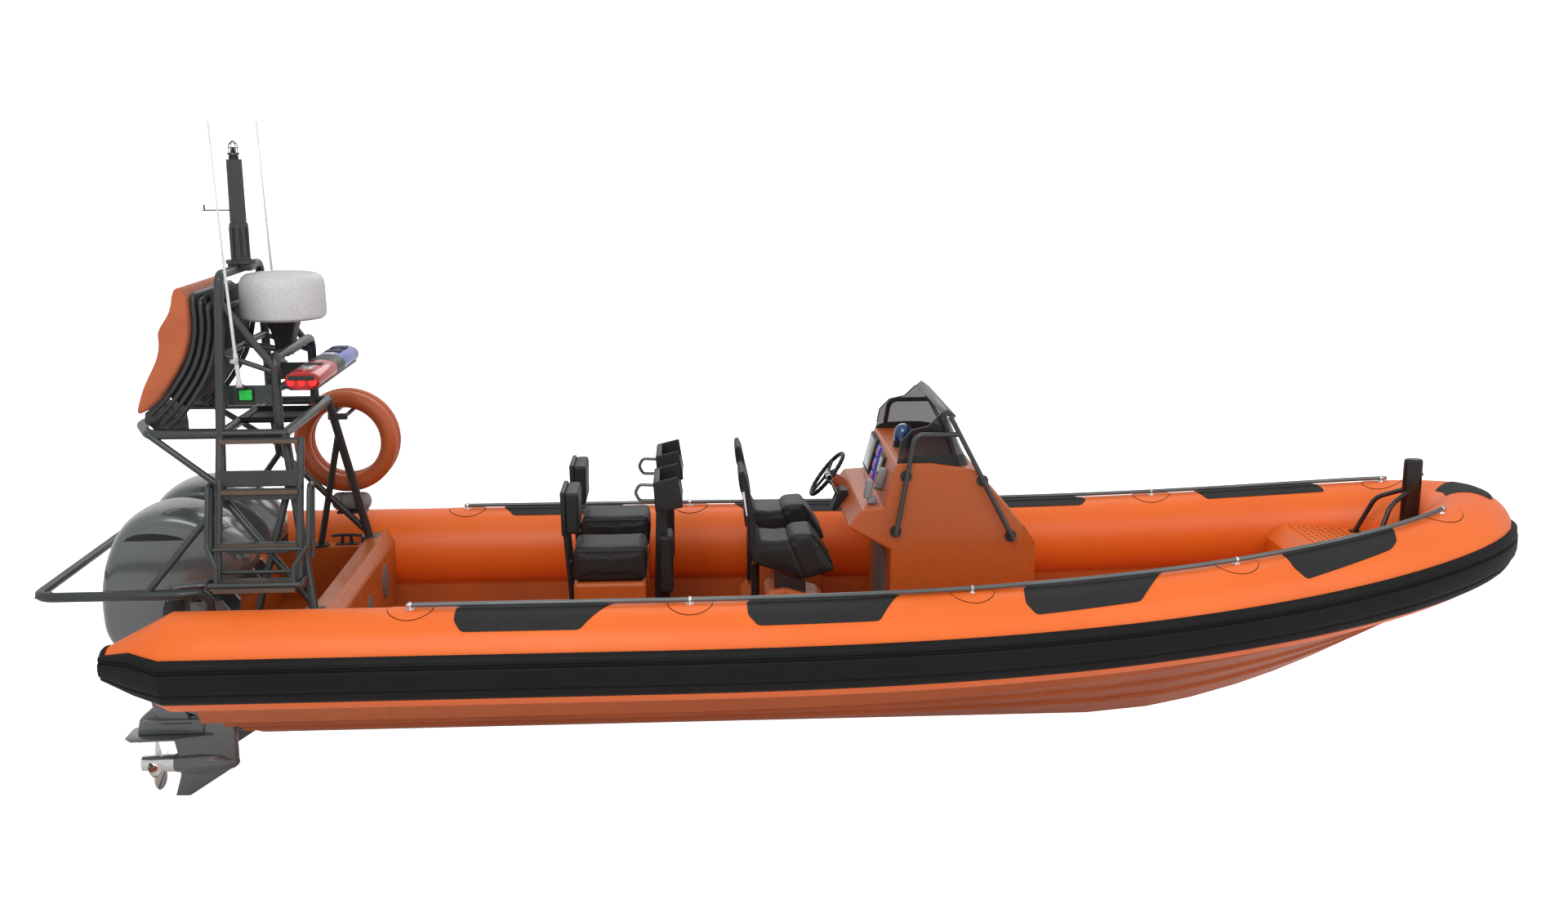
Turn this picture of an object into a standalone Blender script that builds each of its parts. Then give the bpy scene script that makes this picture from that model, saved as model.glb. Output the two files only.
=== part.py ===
"""Inshore rescue boat: rigid inflatable with two outboard motors.

Metres, +X to the bow, +Y to port, +Z up. The origin is on the centreline at the
waterline, below the transom's top.
"""
import math

import bmesh
import bpy
from mathutils import Matrix, Vector

# Driving dimensions, collar
GAP = 0.0003
TUBE_RADIUS = 0.278
TUBE_HALF_SPREAD = 1.18
TUBE_AXIS_HEIGHT = 0.329
TUBE_BOW_RISE = 0.33
TUBE_BOW_X = 8.04
TUBE_STRAIGHT_END = 2.8
TUBE_CONE_X = 0.12
TUBE_TIP_X = -0.26
TUBE_TIP_RADIUS = 0.08
TUBE_SIDES = 20
TUBE_FACET_START = math.radians(-1.0)
SHEER_START = 3.0
SHEER_POWER = 2.85
BOW_SHOULDER = (5.4, 1.18)
BOW_CHEEK = 0.72
STRAKE_THICKNESS = 0.030

# Driving dimensions, hull
KEEL_DEPTH = -0.56
KEEL_RISE_START = 5.6
KEEL_RISE_GAIN = 0.175
KEEL_RISE_POWER = 1.8
CHINE_DROP = 0.161
CHINE_INSET = 0.18
CHINE_FLAT = 0.06
SPRAY_RAIL_WIDTH = 0.045
SPRAY_RAIL_PLACES = (0.38, 0.70)
DECK_HEIGHT = 0.03
DECK_RISE_START = 6.6
DECK_RISE_SLOPE = 0.24
BULWARK_DROP = 0.19
TRANSOM_TOP = 0.33
TRANSOM_FOOT_X = 0.25
TRANSOM_THICKNESS = 0.08
TRANSOM_RAKE = 0.135
HULL_END_X = 7.93

# Driving dimensions, stern
WELL_FRONT = 0.80
WELL_FLOOR = 0.10
WELL_HALF_WIDTH = 0.775
SIDE_DECK = 0.45
COAMING_TOP = 0.52
COAMING_FRONT = 0.97
MOTOR_SPREAD = 0.35
TILT_AXIS = (0.10, 0.42)
STEER_AXIS_X = -0.03
SHAFT_HEIGHT = -0.61
PROP_RADIUS = 0.176
PROP_X = -0.30
PROP_BLADES = 4
PROP_SECTIONS = ((0.20, 0.062, 62), (0.45, 0.100, 45), (0.75, 0.105, 33), (0.93, 0.072, 28), (1.0, 0.028, 26))
HOOP_HALF = 0.90
HOOP_AFT_X = -0.72
HOOP_HEIGHT = 0.63
HOOP_PIPE = 0.029

# Driving dimensions, arch
ARCH_PIPE = 0.028
ARCH_TOP = 2.41
ARCH_TOP_HALF = 0.45
PLATFORM_Z = 1.50
PLATFORM_HALF = 0.57
PLATFORM_FRONT_X = 0.658
ARCH_AFT_X = 0.31
CAGE_FRONT_X = 0.60
CAGE_TOP = 1.93
FOOT_FRONT = (0.83, 0.84)
FOOT_AFT = (0.49, 0.83)
FRAME_KNEE = (0.30, 0.66, 1.15)
MAST_X = 0.322
MAST_TOP = 3.057
RADOME_X = 0.555
RADOME_RADIUS = 0.255
LADDER_SPLAY = (0.60, 0.85)
LADDER_FOOT_Z = 0.66
LADDER_X = (0.305, 0.765)
RING_CENTRE = (0.70, 0.83, 1.172)
RING_RADIUS = 0.2875
RING_SECTION = 0.0575

# Driving dimensions, cockpit
CONSOLE_HALF = 0.58
SEAT_SPREAD = 0.38
SEAT_HALF_WIDTH = 0.19
WHEEL_CENTRE = (3.905, 0.35, 1.005)
WHEEL_AXIS = (-0.78, 0.0, 0.62)
WHEEL_RADIUS = 0.165
LOCKER_AFT = 6.907
LOCKER_FRONT = 7.74
LOCKER_TOP = 0.60
LOCKER_CHAMFER_Z = 0.50
POST_X = 7.683
POST_HALF = (0.062, 0.045)
POST_TOP = 1.123

for old in list(bpy.data.objects):
    bpy.data.objects.remove(old, do_unlink=True)

SCENE = bpy.context.scene
STORE = SCENE.collection


# Materials
def paint(name, colour, roughness, metallic=0.0, alpha=1.0):
    """A Principled material with one colour."""
    found = bpy.data.materials.get(name)
    if found:
        return found
    material = bpy.data.materials.new(name)
    material.use_nodes = True
    shader = material.node_tree.nodes["Principled BSDF"]
    shader.inputs["Base Color"].default_value = (*colour, 1.0)
    shader.inputs["Roughness"].default_value = roughness
    shader.inputs["Metallic"].default_value = metallic
    shader.inputs["Alpha"].default_value = alpha
    material.diffuse_color = (*colour, 1.0)
    return material


MOULDING = paint("orange_moulding", (0.50, 0.10, 0.03), 0.35)
FABRIC = paint("orange_fabric", (0.95, 0.20, 0.03), 0.45)
RUBBER = paint("black_rubber", (0.015, 0.015, 0.016), 0.6)
RAIL_STEEL = paint("grey_rail", (0.12, 0.14, 0.14), 0.3, 0.6)
ARCH_STEEL = paint("dark_frame", (0.06, 0.07, 0.07), 0.35, 0.5)
MOTOR_PAINT = paint("motor_grey", (0.11, 0.13, 0.13), 0.25, 0.4)
BRIGHT_STEEL = paint("bright_steel", (0.75, 0.75, 0.77), 0.12, 1.0)
VINYL = paint("black_vinyl", (0.02, 0.02, 0.021), 0.5)
PLASTIC = paint("black_plastic", (0.02, 0.02, 0.02), 0.4)
RADAR_WHITE = paint("radar_white", (0.75, 0.75, 0.75), 0.4)
SMOKED = paint("smoked_screen", (0.10, 0.10, 0.10), 0.1, 0.0, 0.6)
COMPASS_BLUE = paint("compass_blue", (0.01, 0.08, 0.25), 0.1)
SPECKLED = paint("speckled_grey", (0.35, 0.35, 0.35), 0.7)
BAG_CLOTH = paint("bag_cloth", (0.50, 0.12, 0.05), 0.8)


# Shared ways of making a solid
def place(name, mesh, material, smooth=40):
    """One named object for a finished mesh."""
    mesh.materials.clear()
    mesh.materials.append(material)
    obj = bpy.data.objects.new(name, mesh)
    STORE.objects.link(obj)
    if smooth:
        mesh.shade_smooth()
        mesh.set_sharp_from_angle(angle=math.radians(smooth))
    return obj


def mesh_of(bm):
    """The mesh of a bmesh, with faces pointing out."""
    bmesh.ops.recalc_face_normals(bm, faces=bm.faces)
    mesh = bpy.data.meshes.new("shape")
    bm.to_mesh(mesh)
    bm.free()
    return mesh


def loft(rings, split=False):
    """A closed solid through rings of points, capped at both ends, split into triangles where it twists."""
    bm = bmesh.new()
    loops = [[bm.verts.new(point) for point in ring] for ring in rings]
    count = len(loops[0])
    for first, second in zip(loops, loops[1:]):
        for i in range(count):
            j = (i + 1) % count
            if split:
                bm.faces.new((first[i], first[j], second[j]))
                bm.faces.new((first[i], second[j], second[i]))
            else:
                bm.faces.new((first[i], first[j], second[j], second[i]))
    bm.faces.new(loops[0])
    bm.faces.new(loops[-1])
    return mesh_of(bm)


def faceted(mesh):
    """The same mesh in triangles."""
    bm = bmesh.new()
    bm.from_mesh(mesh)
    bmesh.ops.triangulate(bm, faces=bm.faces)
    return mesh_of(bm)


def block(low, high, bevel=0.0, segments=2):
    """A box between two corners, with rounded edges."""
    bm = bmesh.new()
    size = [b - a for a, b in zip(low, high)]
    middle = [(a + b) / 2 for a, b in zip(low, high)]
    bmesh.ops.create_cube(bm, size=1.0, matrix=Matrix.Translation(middle) @ Matrix.Diagonal((*size, 1.0)))
    if bevel:
        bmesh.ops.bevel(
            bm, geom=bm.edges[:], offset=bevel, offset_type="OFFSET", segments=segments,
            profile=0.5, affect="EDGES", material=-1,
        )
    return mesh_of(bm)


def slab(outline, y_low, y_high, bevel=0.0, segments=2):
    """A side outline of (x, z) points, extruded across the boat."""
    bm = bmesh.new()
    face = bm.faces.new([bm.verts.new((x, y_low, z)) for x, z in outline])
    side = bmesh.ops.extrude_face_region(bm, geom=[face])
    moved = [item for item in side["geom"] if isinstance(item, bmesh.types.BMVert)]
    bmesh.ops.translate(bm, vec=(0.0, y_high - y_low, 0.0), verts=moved)
    if bevel:
        bmesh.ops.bevel(
            bm, geom=bm.edges[:], offset=bevel, offset_type="OFFSET", segments=segments,
            profile=0.5, affect="EDGES", material=-1,
        )
    return mesh_of(bm)


def plan_slab(outline, z_low, z_high):
    """A plan outline of (x, y) points, extruded upwards."""
    bm = bmesh.new()
    face = bm.faces.new([bm.verts.new((x, y, z_low)) for x, y in outline])
    side = bmesh.ops.extrude_face_region(bm, geom=[face])
    moved = [item for item in side["geom"] if isinstance(item, bmesh.types.BMVert)]
    bmesh.ops.translate(bm, vec=(0.0, 0.0, z_high - z_low), verts=moved)
    return mesh_of(bm)


def drum(start, end, radius, end_radius=None, sides=12):
    """A round bar or cone between two points."""
    start, end = Vector(start), Vector(end)
    along = end - start
    bm = bmesh.new()
    turn = along.to_track_quat("Z", "Y").to_matrix().to_4x4()
    bmesh.ops.create_cone(
        bm, cap_ends=True, segments=sides, radius1=radius,
        radius2=radius if end_radius is None else end_radius, depth=along.length,
        matrix=Matrix.Translation((start + end) / 2) @ turn,
    )
    return mesh_of(bm)


def turned(profile, centre, sides=24):
    """A solid of revolution about a vertical axis, from (radius, z) points."""
    rings = []
    for radius, z in profile:
        ring = []
        for i in range(sides):
            angle = 2 * math.pi * i / sides
            ring.append((centre[0] + radius * math.cos(angle), centre[1] + radius * math.sin(angle), z))
        rings.append(ring)
    return loft(rings)


def ring_torus(centre, axis, radius, section, sides=24, facets=8):
    """A closed ring of round section about an axis."""
    axis = Vector(axis).normalized()
    first = axis.orthogonal().normalized()
    second = axis.cross(first)
    bm = bmesh.new()
    loops = []
    for i in range(sides):
        turn = 2 * math.pi * i / sides
        spoke = first * math.cos(turn) + second * math.sin(turn)
        loop = []
        for k in range(facets):
            angle = 2 * math.pi * k / facets
            reach = spoke * (radius + section * math.cos(angle))
            point = Vector(centre) + reach + axis * section * math.sin(angle)
            loop.append(bm.verts.new(point))
        loops.append(loop)
    for i in range(sides):
        here, there = loops[i], loops[(i + 1) % sides]
        for k in range(facets):
            j = (k + 1) % facets
            bm.faces.new((here[k], here[j], there[j], there[k]))
    return mesh_of(bm)


def rounded(points, bend, steps=3):
    """The same route with each corner replaced by an arc of radius bend."""
    points = [Vector(p) for p in points]
    route = [points[0]]
    for before, corner, after in zip(points, points[1:], points[2:]):
        back = (before - corner).normalized()
        ahead = (after - corner).normalized()
        half = back.angle(ahead) / 2
        if half > math.radians(78):
            route.append(corner)
            continue
        reach = min(bend / math.tan(half), 0.45 * (before - corner).length, 0.45 * (after - corner).length)
        radius = reach * math.tan(half)
        centre = corner + (back + ahead).normalized() * (radius / math.sin(half))
        start = corner + back * reach - centre
        finish = corner + ahead * reach - centre
        for step in range(steps + 1):
            share = step / steps
            spoke = start.slerp(finish, share) if start.angle(finish) > 0.001 else start
            route.append(centre + spoke.normalized() * radius)
    route.append(points[-1])
    return route


def pipe(points, radius, sides=8):
    """A bent round tube along a route, with mitred joints."""
    points = [Vector(p) for p in points]
    rings = []
    first = (points[1] - points[0]).normalized()
    side = first.cross(Vector((0, 0, 1)))
    if side.length < 0.1:
        side = first.cross(Vector((0, 1, 0)))
    side.normalize()
    for i, point in enumerate(points):
        before = (point - points[i - 1]).normalized() if i else first
        after = (points[i + 1] - point).normalized() if i + 1 < len(points) else before
        tangent = (before + after).normalized()
        side = (side - tangent * side.dot(tangent)).normalized()
        other = tangent.cross(side)
        stretch = 1.0 / max(0.3, tangent.dot(before))
        normal = (after - before)
        ring = []
        for k in range(sides):
            angle = 2 * math.pi * (k + 0.5) / sides
            spoke = side * math.cos(angle) * radius + other * math.sin(angle) * radius
            if normal.length > 0.001:
                fold = normal.normalized()
                spoke += fold * spoke.dot(fold) * (stretch - 1.0)
            ring.append(point + spoke)
        rings.append(ring)
    return loft(rings)


def fuse(meshes):
    """One closed body from meshes that overlap."""
    holder = bpy.data.collections.new("members")
    STORE.children.link(holder)
    base = bpy.data.objects.new("base", meshes[0])
    STORE.objects.link(base)
    for mesh in meshes[1:]:
        holder.objects.link(bpy.data.objects.new("member", mesh))
    joiner = base.modifiers.new("join", "BOOLEAN")
    joiner.operation = "UNION"
    joiner.solver = "EXACT"
    joiner.operand_type = "COLLECTION"
    joiner.collection = holder
    return bake(base, list(holder.objects), holder)


def cut(mesh, cutters):
    """A mesh with the cutters taken out of it."""
    base = bpy.data.objects.new("base", mesh)
    STORE.objects.link(base)
    tools = []
    for cutter in cutters:
        tool = bpy.data.objects.new("cutter", cutter)
        STORE.objects.link(tool)
        tools.append(tool)
        knife = base.modifiers.new("cut", "BOOLEAN")
        knife.operation = "DIFFERENCE"
        knife.solver = "EXACT"
        knife.object = tool
    return bake(base, tools, None)


def bake(base, helpers, holder):
    """The evaluated mesh of base, with what made it removed."""
    graph = bpy.context.evaluated_depsgraph_get()
    graph.update()
    result = bpy.data.meshes.new_from_object(base.evaluated_get(graph))
    for helper in helpers:
        bpy.data.objects.remove(helper, do_unlink=True)
    bpy.data.objects.remove(base, do_unlink=True)
    if holder:
        bpy.data.collections.remove(holder)
    return result


def shifted(mesh, offset):
    """A copy of a mesh, moved."""
    twin = mesh.copy()
    twin.transform(Matrix.Translation(offset))
    return twin


# Lines of the collar
def sheer(x):
    """Height of the collar's axis at a station."""
    ahead = max(0.0, x - SHEER_START) / (TUBE_BOW_X - SHEER_START)
    return TUBE_AXIS_HEIGHT + TUBE_BOW_RISE * ahead ** SHEER_POWER


def bow_curve(share):
    """Plan point of the collar's axis on the starboard bow, 0 at the shoulder to 1 at the stem."""
    ends = (
        Vector((TUBE_STRAIGHT_END, TUBE_HALF_SPREAD)), Vector(BOW_SHOULDER),
        Vector((TUBE_BOW_X, BOW_CHEEK)), Vector((TUBE_BOW_X, 0.0)),
    )
    rest = 1.0 - share
    weights = (rest ** 3, 3 * rest * rest * share, 3 * rest * share * share, share ** 3)
    return sum((end * weight for end, weight in zip(ends, weights)), Vector((0.0, 0.0)))


def half_breadth(x):
    """Distance of the collar's axis from the centreline at a station."""
    if x <= TUBE_STRAIGHT_END:
        return TUBE_HALF_SPREAD
    low, high = 0.0, 1.0
    for _ in range(30):
        middle = (low + high) / 2
        if bow_curve(middle).x < x:
            low = middle
        else:
            high = middle
    return bow_curve(low).y


STRAIGHT_STATIONS = (TUBE_CONE_X, 0.6, 1.6)
BOW_STEPS = 12


def collar_route():
    """Plan points and outward directions along the collar, starboard stern to port stern."""
    side = [(Vector((x, TUBE_HALF_SPREAD)), Vector((0.0, 1.0))) for x in STRAIGHT_STATIONS]
    for step in range(BOW_STEPS + 1):
        share = step / BOW_STEPS
        here = bow_curve(share)
        ahead = bow_curve(min(1.0, share + 0.001))
        behind = bow_curve(max(0.0, share - 0.001))
        run = (ahead - behind).normalized()
        side.append((here, Vector((-run.y, run.x))))
    side[-1] = (side[-1][0], Vector((1.0, 0.0)))
    starboard = [(Vector((p.x, -p.y)), Vector((n.x, -n.y))) for p, n in side]
    port = list(reversed(side))[1:]
    return starboard + port


def collar_ring(place_on_plan, outward, radius, angles, shrink=1.0, centre_x=None):
    """Points round the collar's axis at given angles, 0 outboard and 90 up."""
    x = place_on_plan.x if centre_x is None else centre_x
    z = sheer(x)
    ring = []
    for angle in angles:
        reach = radius * math.cos(angle) * shrink
        height = z + radius * math.sin(angle) * shrink
        ring.append((x + outward.x * reach, place_on_plan.y + outward.y * reach, height))
    return ring


def collar_mesh(radius, tip_radius, tip_x):
    """The whole collar with its two cones."""
    angles = [TUBE_FACET_START + 2 * math.pi * i / TUBE_SIDES for i in range(TUBE_SIDES)]
    route = collar_route()
    rings = [collar_ring(p, n, radius, angles) for p, n in route]
    start, finish = route[0], route[-1]
    first = collar_ring(start[0], start[1], tip_radius, angles, centre_x=tip_x)
    last = collar_ring(finish[0], finish[1], tip_radius, angles, centre_x=tip_x)
    return loft([first] + rings + [last], split=True)


# Inflated collar
collar_shape = collar_mesh(TUBE_RADIUS, TUBE_TIP_RADIUS, TUBE_TIP_X)
place("tube_collar", collar_shape, FABRIC)


# Rubbing strake: three bands wrapped round the outside of the collar
STRAKE_LOW_STEP = -2
STRAKE_HIGH_STEP = 1
TUBE_STEP = 2 * math.pi / TUBE_SIDES


def strake_section():
    """Angle and height above the collar of the strake's outline."""
    inner = [TUBE_FACET_START + TUBE_STEP * k for k in range(STRAKE_LOW_STEP, STRAKE_HIGH_STEP + 1)]
    low, high = inner[0], inner[-1]
    span = high - low
    outer = (
        (high - 0.02 * span, 0.35), (high - 0.10 * span, 0.65), (high - 0.28 * span, 0.80),
        (high - 0.32 * span, 1.0), (high - 0.66 * span, 1.0), (high - 0.70 * span, 0.75),
        (high - 0.86 * span, 0.70), (low + 0.02 * span, 0.35),
    )
    return inner, outer


def strake_ring(p, n, radius_scale, centre_x=None):
    """One ring of the strake, lying on the collar's flat facets."""
    inner, outer = strake_section()
    x = p.x if centre_x is None else centre_x
    z = sheer(x)
    tip = (TUBE_TIP_RADIUS if centre_x is not None else TUBE_RADIUS) * radius_scale
    points = []
    for angle in inner:
        points.append((tip + 2 * GAP, angle))
    for angle, lift in outer:
        points.append((tip + STRAKE_THICKNESS * lift, angle))
    ring = []
    for reach, angle in points:
        flat = reach * math.cos(angle)
        ring.append((x + n.x * flat, p.y + n.y * flat, z + reach * math.sin(angle)))
    return ring


def strake_mesh():
    """The whole strake, from cone to cone."""
    route = collar_route()
    rings = [strake_ring(route[0][0], route[0][1], 1.0, TUBE_TIP_X)]
    rings += [strake_ring(p, n, 1.0) for p, n in route]
    rings.append(strake_ring(route[-1][0], route[-1][1], 1.0, TUBE_TIP_X))
    return loft(rings, split=True)


place("rubbing_strake", strake_mesh(), RUBBER)


# Hull: lofted stations, trimmed to the collar
def keel_height(x):
    """Height of the keel line."""
    return KEEL_DEPTH + KEEL_RISE_GAIN * max(0.0, x - KEEL_RISE_START) ** KEEL_RISE_POWER


def deck_height(x):
    """Height of the deck."""
    return DECK_HEIGHT + DECK_RISE_SLOPE * max(0.0, x - DECK_RISE_START)


def bulwark_reach(x):
    """Distance of the bulwark's top edge from the centreline."""
    return max(half_breadth(x) - TUBE_RADIUS - 0.005, 0.03)


def hull_station(x, deck):
    """Half section from the keel up to the deck."""
    keel = keel_height(x)
    axis_y = half_breadth(x)
    axis_z = sheer(x)
    ease = min(1.0, max(0.0, (x - 3.0) / 4.7))
    ease = ease * ease * (3 - 2 * ease)
    chine_y = max(0.06, axis_y - CHINE_INSET * (1 - 0.45 * ease))
    chine_z = max(axis_z - TUBE_RADIUS - CHINE_DROP * (1 - 0.6 * ease), keel + 0.03)
    inner_y = chine_y - CHINE_FLAT * (1 - 0.6 * ease)
    slope = (chine_z - keel) / inner_y
    half = [(0.0, keel)]
    for share in SPRAY_RAIL_PLACES:
        edge = share * inner_y
        root = max(edge - SPRAY_RAIL_WIDTH * (1 - 0.5 * ease), 0.3 * edge)
        half.append((root, keel + slope * root))
        half.append((edge, keel + slope * root))
        half.append((edge, keel + slope * edge))
    half.append((inner_y, chine_z))
    half.append((chine_y, chine_z))
    half.append((max(axis_y - 0.06, chine_y + 0.005), axis_z - TUBE_RADIUS + 0.03))
    half.append((max(axis_y - 0.10, chine_y), axis_z - BULWARK_DROP))
    half.append((bulwark_reach(x), axis_z - BULWARK_DROP))
    half.append((max(bulwark_reach(x) - 0.02, 0.02), deck))
    return half


def hull_ring(x, deck, rake=0.0):
    """A whole station, leaning aft by rake per metre of height."""
    half = hull_station(x, deck)
    starboard = [(x - rake * (z - KEEL_DEPTH), -y, z) for y, z in half]
    port = [(x - rake * (z - KEEL_DEPTH), y, z) for y, z in half[1:]]
    return starboard + list(reversed(port))


def hull_mesh():
    """The closed hull, before the collar is taken out of it."""
    inside = TRANSOM_FOOT_X + TRANSOM_THICKNESS
    rings = [
        hull_ring(TRANSOM_FOOT_X, TRANSOM_TOP, TRANSOM_RAKE),
        hull_ring(inside, TRANSOM_TOP, TRANSOM_RAKE),
        hull_ring(inside + 0.004, DECK_HEIGHT, TRANSOM_RAKE),
    ]
    stations = (
        0.6, 1.4, 2.2, 3.0, 3.8, 4.5, 5.1, 5.6, 6.0, 6.3, 6.6,
        6.85, 7.1, 7.3, 7.48, 7.62, 7.74, 7.84, HULL_END_X,
    )
    rings += [hull_ring(x, deck_height(x)) for x in stations]
    return loft(rings)


def collar_cutter():
    """The collar, one gap larger."""
    return collar_mesh(TUBE_RADIUS + 2 * GAP, TUBE_TIP_RADIUS + 2 * GAP, TUBE_TIP_X)


place("hull", cut(hull_mesh(), [collar_cutter()]), MOULDING, 25)


# Grab rails along the crown of the collar
RAIL_RADIUS = 0.014
RAIL_LIFT = 0.024
RAIL_START = 1.41
RAIL_END_SHARE = 0.80
CLAMP_PLACES = (3.0, 4.6, 6.22)


def crown_point(x, y, lift):
    """A point above the collar's crown."""
    facet = math.cos(TUBE_STEP / 2) / math.cos(TUBE_STEP / 2 + TUBE_FACET_START)
    return Vector((x, y, sheer(x) + TUBE_RADIUS * facet + lift))


def grab_rail(side):
    """A rail on clamps that stand on the collar."""
    route = [crown_point(RAIL_START, side * TUBE_HALF_SPREAD, RAIL_LIFT)]
    for step in range(10):
        spot = bow_curve(RAIL_END_SHARE * step / 9)
        route.append(crown_point(spot.x, side * spot.y, RAIL_LIFT))
    stands = [route[0].lerp(route[1], 0.012), route[-1].lerp(route[-2], 0.03)]
    for x in CLAMP_PLACES:
        stands.append(crown_point(x, side * half_breadth(x), RAIL_LIFT))
    members = [pipe(route, RAIL_RADIUS, 6)]
    for stand in stands:
        members.append(drum(stand - Vector((0, 0, 0.04)), stand + Vector((0, 0, 0.002)), 0.019, 0.017, 10))
    return cut(fuse(members), [collar_cutter()])


for rail_name, rail_side in (("grab_rail_stbd", -1), ("grab_rail_port", 1)):
    place(rail_name, grab_rail(rail_side), RAIL_STEEL)


# Stern coaming: side decks, beam and floor round the engine well
def transom_front(z):
    """Forward face of the transom."""
    return TRANSOM_FOOT_X + TRANSOM_THICKNESS + 0.004 + GAP - TRANSOM_RAKE * (z - KEEL_DEPTH)


coaming_low = block((0.19, -0.876, DECK_HEIGHT + GAP), (COAMING_FRONT, 0.876, 0.20))
coaming_high = block((0.19, -1.0, TUBE_AXIS_HEIGHT - BULWARK_DROP + GAP), (COAMING_FRONT, 1.0, SIDE_DECK))
coaming_beam = slab(
    [
        (WELL_FRONT, 0.16), (COAMING_FRONT, 0.16), (COAMING_FRONT - 0.01, 0.46),
        (0.91, COAMING_TOP), (WELL_FRONT, 0.50),
    ],
    -0.99, 0.99,
)
well_room = block((-0.2, -WELL_HALF_WIDTH, WELL_FLOOR), (WELL_FRONT, WELL_HALF_WIDTH, 1.0))
transom_room = slab(
    [
        (-0.2, -0.1), (transom_front(-0.1), -0.1), (transom_front(0.335), 0.335),
        (0.19, 0.335), (0.19, 0.6), (-0.2, 0.6),
    ],
    -1.1, 1.1,
)
coaming = fuse([coaming_low, coaming_high, coaming_beam])
place("stern_coaming", cut(coaming, [well_room, transom_room, collar_cutter()]), MOULDING, 25)


# Outboard motors
def hang(obj, pivot):
    """Move an object's origin onto its joint axis, leaving its shape where it is."""
    obj.data.transform(Matrix.Translation(-Vector(pivot)))
    obj.location = pivot


COWL_OUTLINE = (
    (-0.38, 0.16), (-0.44, 0.205), (-0.505, 0.29), (-0.511, 0.40), (-0.508, 0.56), (-0.46, 0.74), (-0.378, 0.916),
    (-0.273, 1.01), (-0.10, 1.052), (0.12, 1.015), (0.31, 0.90), (0.39, 0.78), (0.40, 0.66), (0.34, 0.60),
    (0.12, 0.585), (-0.04, 0.585), (-0.10, 0.52), (-0.14, 0.36), (-0.18, 0.20),
)
COWL_LAYERS = ((0.25, 0.78, 0.84), (0.235, 0.83, 0.91), (0.19, 0.88, 0.965), (0.10, 0.95, 1.0))
COWL_MIDDLE = (-0.08, 0.60)
COWL_FRONT_SIZE = 0.92


def cowl_ring(y, across, aft_size, top_size):
    """One layer of the cowl, narrower to the aft and the top than the middle."""
    ring = []
    for x, z in COWL_OUTLINE:
        size = aft_size if x < COWL_MIDDLE[0] else max(aft_size, COWL_FRONT_SIZE)
        grow = top_size if z > 0.55 else min(1.0, top_size + 0.06)
        ring.append((
            COWL_MIDDLE[0] + (x - COWL_MIDDLE[0]) * size,
            y + across,
            COWL_MIDDLE[1] + (z - COWL_MIDDLE[1]) * grow,
        ))
    return ring


def cowl_shape(y):
    """The cowl, lofted across from one side to the other."""
    rings = [cowl_ring(y, -half, *sizes) for half, *sizes in COWL_LAYERS]
    rings += [cowl_ring(y, half, *sizes) for half, *sizes in reversed(COWL_LAYERS)]
    return loft(rings)


def leg_shape(y):
    """Mid section, plates, gearcase and skeg in one casting."""
    housing = [(-0.09, 0.24), (-0.09, -0.24), (-0.05, -0.34), (-0.27, -0.34), (-0.30, -0.20), (-0.30, 0.24)]
    skirt = [(-0.28, -0.22), (-0.384, -0.307), (-0.406, -0.413), (0.0, -0.413), (0.02, -0.29), (-0.08, -0.25)]
    blade = [
        (0.02, -0.285), (0.13, -0.31), (0.183, -0.36), (0.187, -0.49), (0.186, -0.61), (0.0, -0.62), (-0.18, -0.60),
        (-0.177, -0.548), (-0.202, -0.415),
    ]
    skeg = [(0.183, -0.628), (0.16, -0.60), (-0.17, -0.62), (-0.174, -0.699), (-0.214, -0.828), (-0.124, -0.827)]
    splash = [(0.04, -0.05), (0.0, -0.09), (-0.34, -0.10), (-0.37, 0.0), (-0.34, 0.10), (0.0, 0.09), (0.04, 0.05)]
    plate = [
        (0.08, 0.0), (0.04, -0.06), (-0.15, -0.12), (-0.44, -0.13),
        (-0.468, 0.0), (-0.44, 0.13), (-0.15, 0.12), (0.04, 0.06),
    ]
    rings = []
    for x, radius in ((0.19, 0.012), (0.165, 0.035), (0.10, 0.062), (0.0, 0.071), (-0.12, 0.068), (-0.197, 0.058)):
        ring = []
        for i in range(14):
            angle = 2 * math.pi * i / 14
            ring.append((x, y + radius * math.cos(angle), SHAFT_HEIGHT + radius * math.sin(angle)))
        rings.append(ring)
    return fuse([
        slab(housing, y - 0.075, y + 0.075, 0.02, 1),
        slab([(-0.12, -0.30), (0.025, -0.30), (0.025, -0.245), (-0.12, -0.245)], y - 0.05, y + 0.05),
        slab(skirt, y - 0.048, y + 0.048, 0.012, 1),
        slab(blade, y - 0.034, y + 0.034, 0.014, 1),
        plan_slab([(x, y + across) for x, across in splash], -0.312, -0.30),
        plan_slab([(x, y + across) for x, across in plate], -0.424, -0.412),
        loft(rings),
        slab(skeg, y - 0.009, y + 0.009),
    ])


def upper_yoke(y):
    """The arm that carries the powerhead over the swivel."""
    return slab([(-0.20, 0.455), (0.05, 0.455), (0.05, 0.60), (-0.20, 0.60)], y - 0.06, y + 0.06)


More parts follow.
